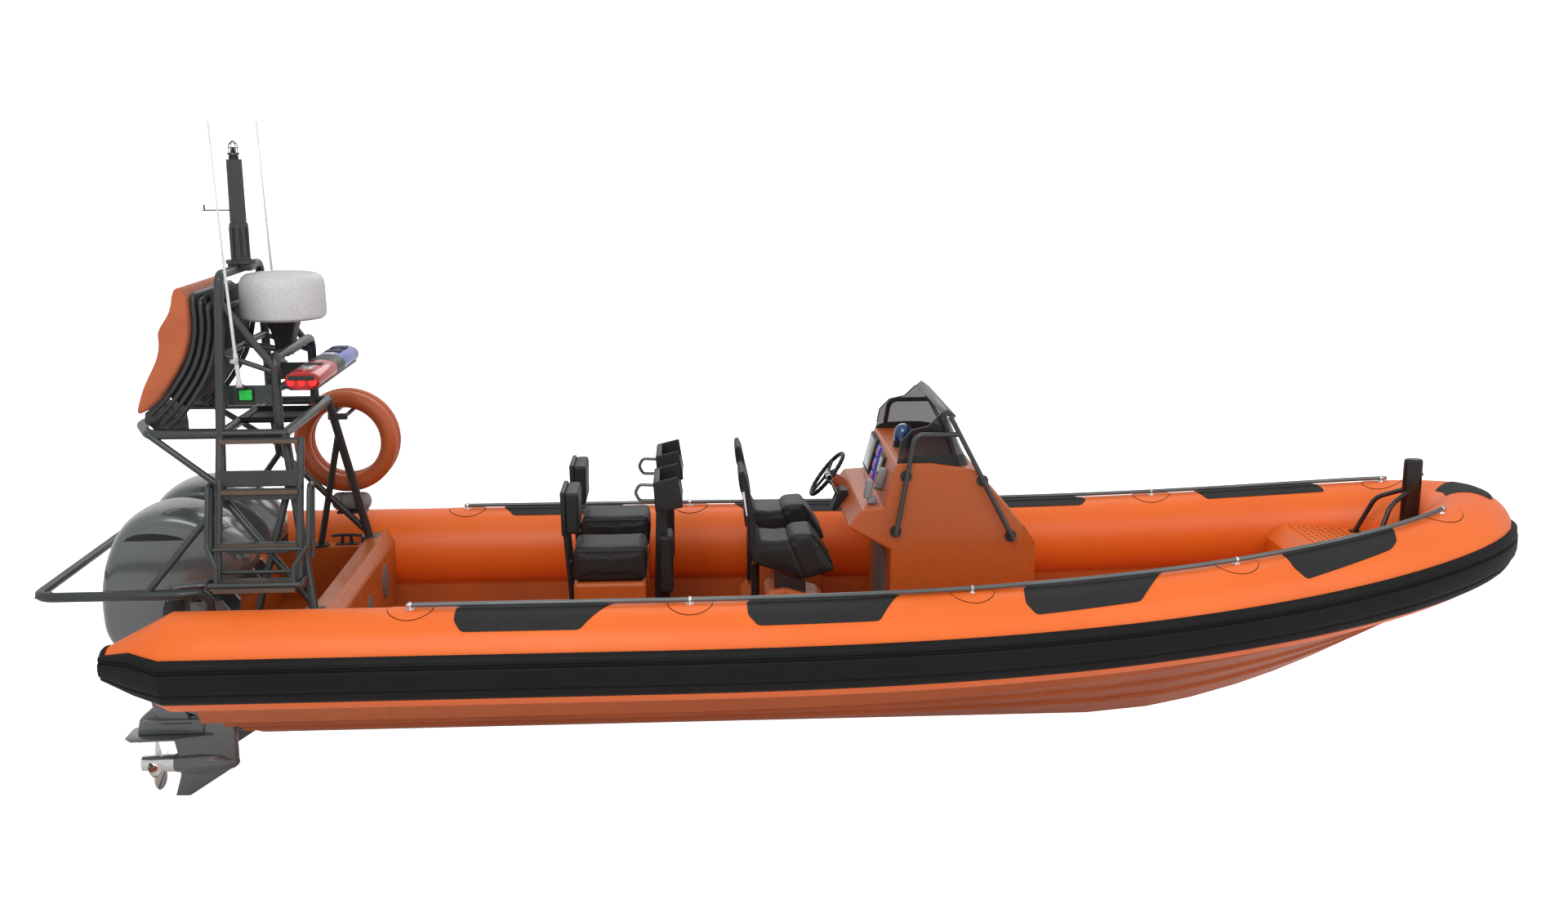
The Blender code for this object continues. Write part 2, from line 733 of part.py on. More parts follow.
def swivel_shape(y):
    """Kingpin tube with the arm and tube of the tilt hinge."""
    tube = drum((STEER_AXIS_X, y, -0.245 + GAP), (STEER_AXIS_X, y, 0.455 - GAP), 0.05, sides=14)
    arm = slab([(-0.01, 0.44), (0.10, 0.448), (0.118, 0.40), (0.02, 0.10), (-0.01, 0.10)], y - 0.07, y + 0.07)
    hinge_half = 0.0975 - GAP
    hinge_start = (TILT_AXIS[0], y - hinge_half, TILT_AXIS[1])
    hinge_end = (TILT_AXIS[0], y + hinge_half, TILT_AXIS[1])
    hinge = drum(hinge_start, hinge_end, 0.028, sides=14)
    return fuse([tube, arm, hinge])


def bracket_shape(y):
    """Two clamp plates over the transom, joined by a bar below."""
    members = []
    foot = transom_aft(-0.06)
    for side in (-1, 1):
        near = y + side * 0.0975
        far = y + side * 0.1275
        outline = [
            (0.055, 0.45), (0.08, 0.465), (0.19, 0.465), (0.235, 0.40), (0.235, TRANSOM_TOP + GAP),
            (transom_aft(TRANSOM_TOP + GAP), TRANSOM_TOP + GAP), (foot, -0.06), (0.08, -0.06), (0.055, 0.05),
        ]
        members.append(slab(outline, min(near, far), max(near, far)))
    members.append(drum((0.13, y - 0.12, -0.02), (0.13, y + 0.12, -0.02), 0.018))
    members.append(block((0.165, y - 0.11, TRANSOM_TOP + GAP), (0.235, y + 0.11, TRANSOM_TOP + 0.02)))
    return fuse(members)


def transom_aft(z):
    """Aft face of the transom, less the gap."""
    return TRANSOM_FOOT_X - GAP - TRANSOM_RAKE * (z - KEEL_DEPTH)


def propeller_shape(y):
    """Hub with four raked and twisted blades."""
    start, stop = -0.197 - GAP, PROP_X - 0.10
    hub = drum((start, y, SHAFT_HEIGHT), (stop, y, SHAFT_HEIGHT), 0.052, 0.040, 16)
    members = [hub]
    for turn in range(PROP_BLADES):
        rings = []
        for share, width, pitch in PROP_SECTIONS:
            radius = PROP_RADIUS * share
            ring = []
            for along, off in ((-1.0, 0.0), (-0.3, 0.5), (0.5, 0.5), (1.0, 0.0), (0.4, -0.5), (-0.4, -0.5)):
                run = width * along / 2
                thick = 0.010 * (1.2 - share) * off
                lean = math.radians(pitch)
                swing = run * math.cos(lean) - thick * math.sin(lean)
                ahead = run * math.sin(lean) + thick * math.cos(lean)
                angle = 2 * math.pi * turn / PROP_BLADES + swing / max(radius, 0.04)
                place_y, place_z = y + radius * math.cos(angle), SHAFT_HEIGHT + radius * math.sin(angle)
                ring.append((PROP_X + ahead, place_y, place_z))
            rings.append(ring)
        members.append(faceted(loft(rings)))
    return fuse(members)


for motor_side, motor_y in (("stbd", -MOTOR_SPREAD), ("port", MOTOR_SPREAD)):
    tilt_pivot = (TILT_AXIS[0], motor_y, TILT_AXIS[1])
    steer_pivot = (STEER_AXIS_X, motor_y, 0.10)
    place("motor_bracket_" + motor_side, bracket_shape(motor_y), MOTOR_PAINT, 30)
    hang(place("motor_swivel_" + motor_side, swivel_shape(motor_y), MOTOR_PAINT, 30), tilt_pivot)
    cowl = fuse([cowl_shape(motor_y), upper_yoke(motor_y)])
    hang(place("motor_cowl_" + motor_side, cowl, MOTOR_PAINT, 40), steer_pivot)
    leg_room = [
        shifted(cowl_shape(motor_y), (0.0, 0.0, -0.0006)),
        shifted(cowl_shape(motor_y), (0.0006, 0.0, 0.0)),
    ]
    leg = cut(leg_shape(motor_y), leg_room)
    hang(place("motor_leg_" + motor_side, leg, MOTOR_PAINT, 30), steer_pivot)
    propeller = place("propeller_" + motor_side, propeller_shape(motor_y), BRIGHT_STEEL, 30)
    hang(propeller, (PROP_X, motor_y, SHAFT_HEIGHT))


# Arch: legs, platform frame and upper cage
def strut(start, end, radius=ARCH_PIPE, sides=None):
    """A straight tube between two points."""
    return drum(start, end, radius, sides=sides or (8 if radius > 0.025 else 6))


def strut_room(start, end, radius, side):
    """The space that a strut takes, one gap larger all round, on one side of the boat."""
    start = Vector((start[0], side * start[1], start[2]))
    end = Vector((end[0], side * end[1], end[2]))
    more = (end - start).normalized() * 2 * GAP
    return drum(start - more, end + more, radius + 2 * GAP, sides=8 if radius > 0.025 else 6)


def foot_pad(x, y, z):
    """A plate under a leg."""
    return block((x - 0.06, y - 0.06, z), (x + 0.06, y + 0.06, z + 0.012))


arch_members = []
for side in (-1, 1):
    top_aft = (ARCH_AFT_X, side * ARCH_TOP_HALF, ARCH_TOP - 0.03)
    base_aft = (0.29, side * PLATFORM_HALF, PLATFORM_Z)
    base_front = (PLATFORM_FRONT_X, side * PLATFORM_HALF, PLATFORM_Z)
    cage_foot = (CAGE_FRONT_X, side * 0.46, PLATFORM_Z)
    foot_front = (FOOT_FRONT[0], side * FOOT_FRONT[1], SIDE_DECK - 0.02)
    foot_aft = (FOOT_AFT[0], side * FOOT_AFT[1], SIDE_DECK - 0.02)
    knee = (FRAME_KNEE[0], side * FRAME_KNEE[1], FRAME_KNEE[2])
    arch_members.append(strut(base_aft, top_aft))
    arch_members.append(strut(cage_foot, (CAGE_FRONT_X, side * 0.455, CAGE_TOP - 0.05)))
    arch_members.append(strut(base_front, foot_front))
    arch_members.append(strut((0.70, side * 0.63, 1.28), foot_aft, 0.022))
    arch_members.append(strut(base_aft, (0.301, side * 0.664, 1.13)))
    arch_members.append(strut(knee, (0.80, side * 0.812, 0.56), 0.022))
    arch_members.append(strut((-0.12, side * PLATFORM_HALF, PLATFORM_Z), (0.295, side * 0.645, 1.20), 0.020))
    arch_members.append(strut((ARCH_AFT_X, side * 0.452, 2.25), (CAGE_FRONT_X, side * 0.455, 1.86), 0.022))
    arch_members.append(strut((0.305, side * 0.47, 1.95), (CAGE_FRONT_X, side * 0.455, 1.84), 0.016))
    arch_members.append(foot_pad(foot_aft[0], foot_aft[1], SIDE_DECK + GAP))
    arch_members.append(block((0.30, side * 0.455 - 0.006, 1.657), (0.60, side * 0.455 + 0.006, 1.767)))
    arch_members.append(block((0.37, side * 0.485 - 0.035, 1.755), (0.43, side * 0.485 + 0.035, 1.767)))
arch_members.append(pipe(rounded([
    (ARCH_AFT_X, -ARCH_TOP_HALF, ARCH_TOP - 0.12), (ARCH_AFT_X, -ARCH_TOP_HALF, ARCH_TOP),
    (ARCH_AFT_X, ARCH_TOP_HALF, ARCH_TOP), (ARCH_AFT_X, ARCH_TOP_HALF, ARCH_TOP - 0.12),
], 0.07), ARCH_PIPE))
arch_members.append(pipe(rounded([
    (CAGE_FRONT_X, -0.455, CAGE_TOP - 0.14), (CAGE_FRONT_X, -0.455, CAGE_TOP),
    (CAGE_FRONT_X, 0.455, CAGE_TOP), (CAGE_FRONT_X, 0.455, CAGE_TOP - 0.14),
], 0.07), ARCH_PIPE))
arch_members.append(pipe(rounded([
    (0.29, -PLATFORM_HALF, PLATFORM_Z), (-0.12, -PLATFORM_HALF, PLATFORM_Z), (-0.265, -0.25, PLATFORM_Z),
    (-0.265, 0.25, PLATFORM_Z), (-0.12, PLATFORM_HALF, PLATFORM_Z), (0.29, PLATFORM_HALF, PLATFORM_Z),
], 0.08), ARCH_PIPE))
arch_members.append(strut((0.27, -PLATFORM_HALF, PLATFORM_Z), (0.68, -PLATFORM_HALF, PLATFORM_Z)))
arch_members.append(strut((0.27, PLATFORM_HALF, PLATFORM_Z), (0.68, PLATFORM_HALF, PLATFORM_Z)))
arch_members.append(strut((PLATFORM_FRONT_X, -0.59, PLATFORM_Z), (PLATFORM_FRONT_X, 0.59, PLATFORM_Z)))
arch_members.append(strut((0.29, -0.59, PLATFORM_Z), (0.29, 0.59, PLATFORM_Z)))
for side in (-1, 1):
    slat_low = (-0.21, side * 0.40 - 0.02, PLATFORM_Z - 0.02)
    slat_high = (0.29, side * 0.40 + 0.02, PLATFORM_Z - GAP)
    arch_members.append(block(slat_low, slat_high))
arch_members.append(strut((0.30, -0.47, 1.95), (0.30, 0.47, 1.95), 0.022))
arch_members.append(block((0.29, -0.20, 1.495), (0.66, 0.20, 1.505)))
arch_members.append(block((0.50, -0.17, 1.893), (0.61, 0.17, 1.912)))
arch_members.append(strut((0.31, 0, 1.95), (0.60, 0, 1.90), 0.02))
arch_members.append(block((0.255, -0.06, 2.398), (0.395, 0.06, 2.44)))
pedestal_rings = []
for z, half_x, half_y in ((1.905, 0.05, 0.07), (2.0, 0.06, 0.08), (2.10 - GAP, 0.09, 0.11)):
    corners = ((-1, -1), (1, -1), (1, 1), (-1, 1))
    pedestal_rings.append([(RADOME_X + cx * half_x, cy * half_y, z) for cx, cy in corners])
arch_members.append(loft(pedestal_rings))
arch_members.append(block((0.60, -0.43, 1.735), (0.641, 0.43, 1.765)))
for side in (-1, 1):
    arch_members.append(block((0.60, side * 0.452 - 0.02, 1.735), (0.641, side * 0.40, 1.765)))
    arch_members.append(block((0.62, side * 0.40 - 0.02, 1.735), (0.80, side * 0.40 + 0.02, 1.7467)))
peg_top = RING_CENTRE[2] + 0.2085
arch_members.append(drum((0.65, 0.62, peg_top), (0.65, 1.03, peg_top), 0.014, sides=8))
arch_members.append(drum((0.75, 0.62, peg_top), (0.75, 1.03, peg_top), 0.014, sides=8))
arch_members.append(block((0.64, 0.60, peg_top - 0.02), (0.765, 0.63, peg_top + 0.02)))
arch_members.append(block((0.61, 0.82, 0.671), (0.81, 0.92, 0.6865)))
arch_members.append(block((0.77, 0.78, 0.671), (0.81, 0.83, 0.683)))
arch_floor = [
    block((-0.2, -1.1, 0.2), (0.9, 1.1, SIDE_DECK + GAP)),
    slab(
        [
            (WELL_FRONT - GAP, 0.1), (1.1, 0.1), (1.1, 0.3), (COAMING_FRONT, 0.46),
            (0.91, COAMING_TOP + GAP), (WELL_FRONT - GAP, 0.50 + GAP),
        ],
        -1.1, 1.1,
    ),
]
place("arch_frame", cut(fuse(arch_members), arch_floor), ARCH_STEEL, 30)


# Righting bag with the ribs it hangs on
BAG_BACK = (
    (0.085, 2.36), (0.032, 2.345), (-0.004, 2.20), (-0.076, 2.088), (-0.082, 2.00), (-0.11, 1.90), (-0.192, 1.753),
    (-0.243, 1.605), (-0.222, 1.582),
)
BAG_FRONT = ((-0.165, 1.60), (-0.061, 1.704), (0.072, 1.904), (0.123, 2.086), (0.124, 2.29))
BAG_HALF = 0.45
RIB_COUNT = 4
RIB_PITCH = 0.042
RIB_RADIUS = 0.016
RIB_HALF = 0.40

place("righting_bag", slab(BAG_BACK + BAG_FRONT, -BAG_HALF, BAG_HALF, 0.014, 1), BAG_CLOTH, 40)


def beside(line, reach):
    """A line of (x, z) points moved sideways, towards the bow."""
    moved = []
    for i, (x, z) in enumerate(line):
        before = Vector(line[max(0, i - 1)])
        after = Vector(line[min(len(line) - 1, i + 1)])
        here = Vector((x, z))
        runs = [run.normalized() for run in (here - before, after - here) if run.length > 0]
        run = sum(runs, Vector((0, 0))).normalized()
        stretch = 1.0 / max(0.5, run.dot(runs[0]))
        moved.append((x + run.y * reach * stretch, z - run.x * reach * stretch))
    return moved


rack = []
for rib in range(RIB_COUNT):
    spine = beside(BAG_FRONT, RIB_RADIUS + GAP + RIB_PITCH * rib)
    spine[-1] = (spine[-1][0], BAG_FRONT[-1][1] - 0.03 * rib)
    route = [(x, -RIB_HALF, z) for x, z in spine] + [(x, RIB_HALF, z) for x, z in reversed(spine)]
    rack.append(pipe(rounded(route, 0.06, 2), RIB_RADIUS, 6))
for side in (-1, 1):
    middle = side * RIB_HALF
    low, high = PLATFORM_Z - 0.02, PLATFORM_Z + 0.05
    plate = [(-0.18, 1.61), (-0.06, 1.69), (0.05, 1.64), (0.06, high), (0.06, low), (-0.14, low), (-0.19, high)]
    rack.append(slab(plate, middle - 0.008, middle + 0.008))
rack.append(drum((-0.13, -0.42, 1.56), (-0.13, 0.42, 1.56), 0.012))
rack_room = [
    slab(BAG_BACK + tuple(beside(BAG_FRONT, GAP)), -0.5, 0.5),
    pipe(rounded([
        (0.29, -PLATFORM_HALF, PLATFORM_Z), (-0.12, -PLATFORM_HALF, PLATFORM_Z), (-0.265, -0.25, PLATFORM_Z),
        (-0.265, 0.25, PLATFORM_Z), (-0.12, PLATFORM_HALF, PLATFORM_Z), (0.29, PLATFORM_HALF, PLATFORM_Z),
    ], 0.08), ARCH_PIPE + GAP),
    block((-0.4, -0.6, 1.3), (0.25, 0.6, PLATFORM_Z)),
]
place("bag_rack", cut(fuse(rack), rack_room), ARCH_STEEL, 30)


# Mast, anchor light and radar
mast = [
    drum((MAST_X, 0, 2.44 + GAP), (MAST_X, 0, 2.68), 0.068, 0.064, 8),
    drum((MAST_X, 0, 2.66), (MAST_X, 0, MAST_TOP), 0.058, 0.055, 8),
    block((MAST_X - 0.20, -0.05, 2.755), (MAST_X - 0.04, 0.05, 2.762)),
]
lamp_profile = (
    (0.028, MAST_TOP - 0.01), (0.028, 3.07), (0.022, 3.075), (0.022, 3.10), (0.04, 3.103),
    (0.04, 3.115), (0.034, 3.118), (0.034, 3.155), (0.02, 3.167),
)
mast.append(turned(lamp_profile, (MAST_X, 0), 14))
place("mast", fuse(mast), ARCH_STEEL, 30)
radome_profile = (
    (0.20, 2.10), (0.245, 2.112), (0.255, 2.14), (0.250, 2.32), (0.235, 2.355), (0.205, 2.377), (0.12, 2.385),
)
place("radome", turned(radome_profile, (RADOME_X, 0), 24), RADAR_WHITE)


# Light bar, side lights and whip aerials
def oval_bar(y_start, y_stop, x, z, half_x, half_z, shrink=1.0):
    """A bar of oval section running across."""
    rings = []
    for y, size in ((y_start, shrink), (y_start + 0.03, 1.0), (y_stop - 0.03, 1.0), (y_stop, shrink)):
        ring = []
        for i in range(16):
            angle = 2 * math.pi * i / 16
            ring.append((x + half_x * size * math.cos(angle), y, z + half_z * size * math.sin(angle)))
        rings.append(ring)
    return loft(rings)


BAR_X, BAR_Z = 0.775, 1.805
place("light_bar", oval_bar(-0.578, 0.578, BAR_X, BAR_Z, 0.104, 0.058, 0.8), PLASTIC)
for side, whip_name in ((-1, "whip_aerial_stbd"), (1, "whip_aerial_port")):
    whip = [
        drum((0.40, side * 0.505, 1.767 + GAP), (0.40, side * 0.505, 1.80), 0.016, 0.016, 10),
        drum((0.40, side * 0.505, 1.79), (0.39, side * 0.507, 1.96), 0.012, 0.014, 8),
        drum((0.39, side * 0.507, 1.95), (0.36, side * 0.510, 2.55), 0.010, 0.007, 8),
        drum((0.361, side * 0.510, 2.54), (0.335, side * 0.512, 3.28), 0.006, 0.0035, 6),
    ]
    place(whip_name, fuse(whip), RADAR_WHITE)


# Life rings on pegs, and a canister on its cradle
for index in range(2):
    centre = (RING_CENTRE[0], RING_CENTRE[1] + index * (2 * RING_SECTION + 0.002), RING_CENTRE[2])
    place("life_ring_" + "ab"[index], ring_torus(centre, (0, 1, 0), RING_RADIUS, RING_SECTION, 24, 8), FABRIC)
place("canister", drum((0.57, 0.872, 0.7489), (0.84, 0.872, 0.7489), 0.062, sides=16), SPECKLED)


# Boarding ladder: fixed upper part, and a lower part that folds up beside it
LADDER_TOP_Z = 1.49
TREAD_HEIGHTS = (1.475, 1.195, 0.90, 0.70)
LADDER_PLATE = (1.22, 1.315)


def ladder_y(z):
    """Distance of the ladder's plane from the centreline at a height."""
    share = (LADDER_TOP_Z - z) / (LADDER_TOP_Z - LADDER_FOOT_Z)
    return -(LADDER_SPLAY[0] + (LADDER_SPLAY[1] - LADDER_SPLAY[0]) * share) - 0.045


ladder = []
for x in LADDER_X:
    stile_top = (x, ladder_y(LADDER_TOP_Z), LADDER_TOP_Z)
    stile_foot = (x, ladder_y(LADDER_FOOT_Z), LADDER_FOOT_Z)
    ladder.append(strut(stile_top, stile_foot, 0.022, 10))
    ladder.append(block((x - 0.012, ladder_y(1.46) - 0.002, 1.44), (x + 0.012, -PLATFORM_HALF - 0.03, 1.465)))
for z in TREAD_HEIGHTS:
    y = ladder_y(z)
    ladder.append(block((LADDER_X[0], y - 0.035, z - 0.014), (LADDER_X[1], y + 0.035, z + 0.014)))
plate_y = ladder_y(LADDER_PLATE[0])
plate_low = (LADDER_X[0], plate_y - 0.006, LADDER_PLATE[0])
plate_high = (LADDER_X[1], plate_y + 0.006, LADDER_PLATE[1])
ladder.append(block(plate_low, plate_high))
ladder.append(strut((LADDER_X[0], ladder_y(0.75), 0.75), (LADDER_X[1], ladder_y(0.75), 0.75), 0.012))
FOLD_PIVOT_Y = ladder_y(LADDER_FOOT_Z) - 0.077
FOLD_PIVOT_Z = 0.70
FOLD_REACH = 0.030
for x, out in ((LADDER_X[0], -1), (LADDER_X[1], 1)):
    near, far = x + out * (FOLD_REACH + GAP), x + out * (FOLD_REACH + 0.010)
    y = ladder_y(FOLD_PIVOT_Z)
    lug_low, lug_high = FOLD_PIVOT_Z - 0.022, FOLD_PIVOT_Z + 0.024
    ladder.append(block((min(near, far), FOLD_PIVOT_Y - 0.022, lug_low), (max(near, far), y + 0.01, lug_high)))
    inside = near + out * 0.004
    filler_low = (min(x, inside), y - 0.018, lug_low + 0.004)
    filler_high = (max(x, inside), y + 0.006, lug_high - 0.004)
    ladder.append(block(filler_low, filler_high))
leg_ends = (
    ((0.29, PLATFORM_HALF, PLATFORM_Z), (0.301, 0.664, 1.13), ARCH_PIPE),
    ((PLATFORM_FRONT_X, PLATFORM_HALF, PLATFORM_Z), (FOOT_FRONT[0], FOOT_FRONT[1], SIDE_DECK - 0.02), ARCH_PIPE),
    (FRAME_KNEE, (0.80, 0.812, 0.56), 0.022),
    ((-0.12, PLATFORM_HALF, PLATFORM_Z), (0.295, 0.645, 1.20), 0.020),
)
platform_tube = [strut_room(*ends, -1) for ends in leg_ends] + [
    strut((0.20, -PLATFORM_HALF, PLATFORM_Z), (0.72, -PLATFORM_HALF, PLATFORM_Z), ARCH_PIPE + GAP),
    strut((0.29, -0.6, PLATFORM_Z), (0.29, 0, PLATFORM_Z), ARCH_PIPE + GAP),
    strut((PLATFORM_FRONT_X, -0.6, PLATFORM_Z), (PLATFORM_FRONT_X, 0, PLATFORM_Z), ARCH_PIPE + GAP),
]
place("ladder_fixed", cut(fuse(ladder), platform_tube), ARCH_STEEL, 30)

FOLD_TOP = (-0.80, 1.24)
FOLD_STILES = ((0.318, 0.262, -1), (0.752, 0.833, 1))


def fold_y(z):
    """Distance of the folded ladder's plane from the centreline at a height."""
    return FOLD_PIVOT_Y + (FOLD_TOP[0] - FOLD_PIVOT_Y) * (z - FOLD_PIVOT_Z) / (FOLD_TOP[1] - FOLD_PIVOT_Z)


fold = []
for foot_x, side_x, out in FOLD_STILES:
    fold.append(pipe(rounded([
        (foot_x, FOLD_PIVOT_Y, FOLD_PIVOT_Z),
        (foot_x, fold_y(0.80) - 0.004, 0.80),
        (side_x, fold_y(0.92), 0.92),
        (side_x, FOLD_TOP[0], FOLD_TOP[1]),
        (side_x, FOLD_TOP[0] + 0.09, FOLD_TOP[1]),
        (side_x, FOLD_TOP[0] - 0.02, 0.82),
    ], 0.04), 0.014, 8))
fold.append(strut((0.30, fold_y(0.895), 0.895), (0.80, fold_y(0.895), 0.895), 0.012, 8))
fold.append(block((LADDER_X[0], FOLD_PIVOT_Y - 0.03, 0.666), (LADDER_X[1], FOLD_PIVOT_Y + 0.026, 0.686)))
pivot_ends = (LADDER_X[0] - FOLD_REACH, LADDER_X[1] + FOLD_REACH)
pivot_start = (pivot_ends[0], FOLD_PIVOT_Y, FOLD_PIVOT_Z)
pivot_end = (pivot_ends[1], FOLD_PIVOT_Y, FOLD_PIVOT_Z)
fold.append(strut(pivot_start, pivot_end, 0.018, 10))
hang(place("ladder_folding", fuse(fold), ARCH_STEEL, 30), (0.535, FOLD_PIVOT_Y, FOLD_PIVOT_Z))


# Guard hoop round the motors
HOOP_FOOT_X = 0.24
hoop_route = rounded([
    (HOOP_FOOT_X, -0.85, SIDE_DECK + 0.006), (HOOP_FOOT_X, -0.85, HOOP_HEIGHT), (0.10, -HOOP_HALF, HOOP_HEIGHT),
    (HOOP_AFT_X, -HOOP_HALF, HOOP_HEIGHT), (HOOP_AFT_X, HOOP_HALF, HOOP_HEIGHT), (0.10, HOOP_HALF, HOOP_HEIGHT),
    (HOOP_FOOT_X, 0.85, HOOP_HEIGHT), (HOOP_FOOT_X, 0.85, SIDE_DECK + 0.006),
], 0.09)
hoop = [pipe(hoop_route, HOOP_PIPE)]
for side in (-1, 1):
    hoop.append(strut((-0.10, side * HOOP_HALF, HOOP_HEIGHT + 0.005), (0.30, side * 0.66, 1.14), 0.020))
    foot_low = (HOOP_FOOT_X - 0.05, side * 0.85 - 0.05, SIDE_DECK + GAP)
    foot_high = (HOOP_FOOT_X + 0.05, side * 0.85 + 0.05, SIDE_DECK + 0.012)
    hoop.append(block(foot_low, foot_high))
    corner = [
        (HOOP_AFT_X, side * (HOOP_HALF - 0.16)),
        (HOOP_AFT_X + 0.16, side * HOOP_HALF),
        (HOOP_AFT_X, side * HOOP_HALF),
    ]
    hoop.append(plan_slab(corner, HOOP_HEIGHT - 0.006, HOOP_HEIGHT + 0.006))
leg_room = [strut_room(*ends, side) for side in (-1, 1) for ends in leg_ends]
place("guard_hoop", cut(fuse(hoop), leg_room), ARCH_STEEL, 30)


# Console
DECK_TOP = DECK_HEIGHT + GAP
CONSOLE_OUTLINE = (
    (4.21, DECK_TOP), (4.21, 0.735), (3.95, 0.88), (4.038, 0.99), (4.167, 0.996), (4.24, 1.266), (4.45, 1.266),
    (4.727, 1.22), (5.035, 0.858), (5.11, 0.744), (5.116, DECK_TOP),
)
console = slab(CONSOLE_OUTLINE, -CONSOLE_HALF, CONSOLE_HALF, 0.012)
corner_cuts = []
for side in (-1, 1):
    bite = [(5.30, side * 0.36), (5.30, side * 0.80), (4.72, side * 0.80)]
    corner_cuts.append(plan_slab(bite, -0.1, 1.5))
console = cut(console, corner_cuts)



def dash_height(x):
    """Top of the console under the windscreen."""
    return 1.266 - max(0.0, x - 4.45) * 0.166


SCREEN_STATIONS = (
    (4.245, 0.565, 4.255, 0.563, 1.31), (4.34, 0.562, 4.336, 0.553, 1.467), (4.45, 0.560, 4.436, 0.55, 1.49),
    (4.56, 0.555, 4.50, 0.54, 1.555), (4.63, 0.53, 4.535, 0.51, 1.574), (4.70, 0.42, 4.548, 0.40, 1.58),
    (4.71, 0.20, 4.553, 0.20, 1.582), (4.712, 0.0, 4.555, 0.0, 1.583),
)
SCREEN_THICKNESS = 0.008


def screen_mesh():
    """The windscreen, wrapped round three sides of the dash."""
    half = []
    for x, y, top_x, top_y, top_z in SCREEN_STATIONS:
        half.append((Vector((x, y, dash_height(x) + 2 * GAP)), Vector((top_x, top_y, top_z))))
    flip = Vector((1, -1, 1))
    whole = half + [(low * flip, high * flip) for low, high in reversed(half[:-1])]
    rings = []
    for i, (low, high) in enumerate(whole):
        before = whole[max(0, i - 1)][0]
        after = whole[min(len(whole) - 1, i + 1)][0]
        run = (after - before)
        inward = Vector((run.y, -run.x, 0.0)).normalized()
        step = inward * SCREEN_THICKNESS
        inner = low + step
        inner.z = dash_height(inner.x) + 2 * GAP
        rings.append([low, high, high + step, inner])
    return loft(rings)


place("windscreen", screen_mesh(), SMOKED, 30)

for side, rail_name in ((-1, "console_rail_stbd"), (1, "console_rail_port")):
    y = side * 0.617
    route = rounded([
        (4.238, y, 0.835), (4.302, y, 1.20), (4.345, y, 1.448), (4.607, y, 1.448), (4.62, y, 1.44),
    ], 0.06)
    members = [pipe(route, 0.015, 6)]
    members.append(strut((4.560, side * 0.600, 1.55), (4.955, y, 0.795), 0.015, 6))
    members.append(strut((4.560, side * 0.598, 1.546), (4.560, side * 0.572, 1.546), 0.008, 6))
    for x, z in ((4.24, 0.85), (4.30, 1.19), (4.762, 1.155), (4.94, 0.81)):
        members.append(drum((x, side * (CONSOLE_HALF + GAP), z), (x, side * 0.60, z), 0.034, 0.030, 10))
        members.append(drum((x, side * 0.59, z), (x, side * 0.617, z), 0.018, sides=6))
    place(rail_name, fuse(members), ARCH_STEEL, 30)

# Helm, throttle and compass
axis = Vector(WHEEL_AXIS).normalized()
centre = Vector(WHEEL_CENTRE)
slope_point = Vector((3.994, WHEEL_CENTRE[1], 0.935))
helm = drum(slope_point - axis * 0.02, centre - axis * 0.0283, 0.05, 0.04, 16)
place("console", fuse([console, helm]), MOULDING, 25)
wheel = [
    ring_torus(centre, axis, WHEEL_RADIUS, 0.013, 22, 6),
    drum(centre - axis * 0.028, centre + axis * 0.012, 0.035, 0.028, 16),
]
low_spoke = axis.cross(Vector((0, 1, 0))).normalized()
for turn in range(3):
    spoke = Matrix.Rotation(2 * math.pi * turn / 3, 3, axis) @ low_spoke
    wheel.append(drum(centre + spoke * 0.01, centre + spoke * WHEEL_RADIUS, 0.010, 0.008, 8))
hang(place("steering_wheel", fuse(wheel), PLASTIC, 30), WHEEL_CENTRE)
THROTTLE_Y = 0.03
console_edge = ((3.94, 0.7), (3.95, 0.88), (4.038, 0.99), (4.2, 1.0), (4.2, 0.7))
throttle_room = slab(console_edge, THROTTLE_Y - 0.1, THROTTLE_Y + 0.1)
throttle_room.transform(Matrix.Translation(Vector(axis) * GAP * 2))
throttle_side = [(3.90, 0.865), (3.925, 0.845), (4.01, 0.94), (4.00, 0.985), (3.955, 0.985)]
throttle = [slab(throttle_side, THROTTLE_Y - 0.075, THROTTLE_Y + 0.075, 0.006)]
for y in (THROTTLE_Y - 0.035, THROTTLE_Y + 0.035):
    throttle.append(strut((3.945, y, 0.93), (3.89, y, 1.06), 0.009))
    throttle.append(drum((3.888, y - 0.022, 1.062), (3.888, y + 0.022, 1.062), 0.018, sides=10))
place("throttle_box", cut(fuse(throttle), [throttle_room]), PLASTIC, 30)
compass_profile = (
    (0.055, 1.266 + GAP), (0.058, 1.30), (0.06, 1.345), (0.052, 1.385), (0.034, 1.405), (0.012, 1.411),
)
place("compass", turned(compass_profile, (4.35, -0.05), 20), COMPASS_BLUE)


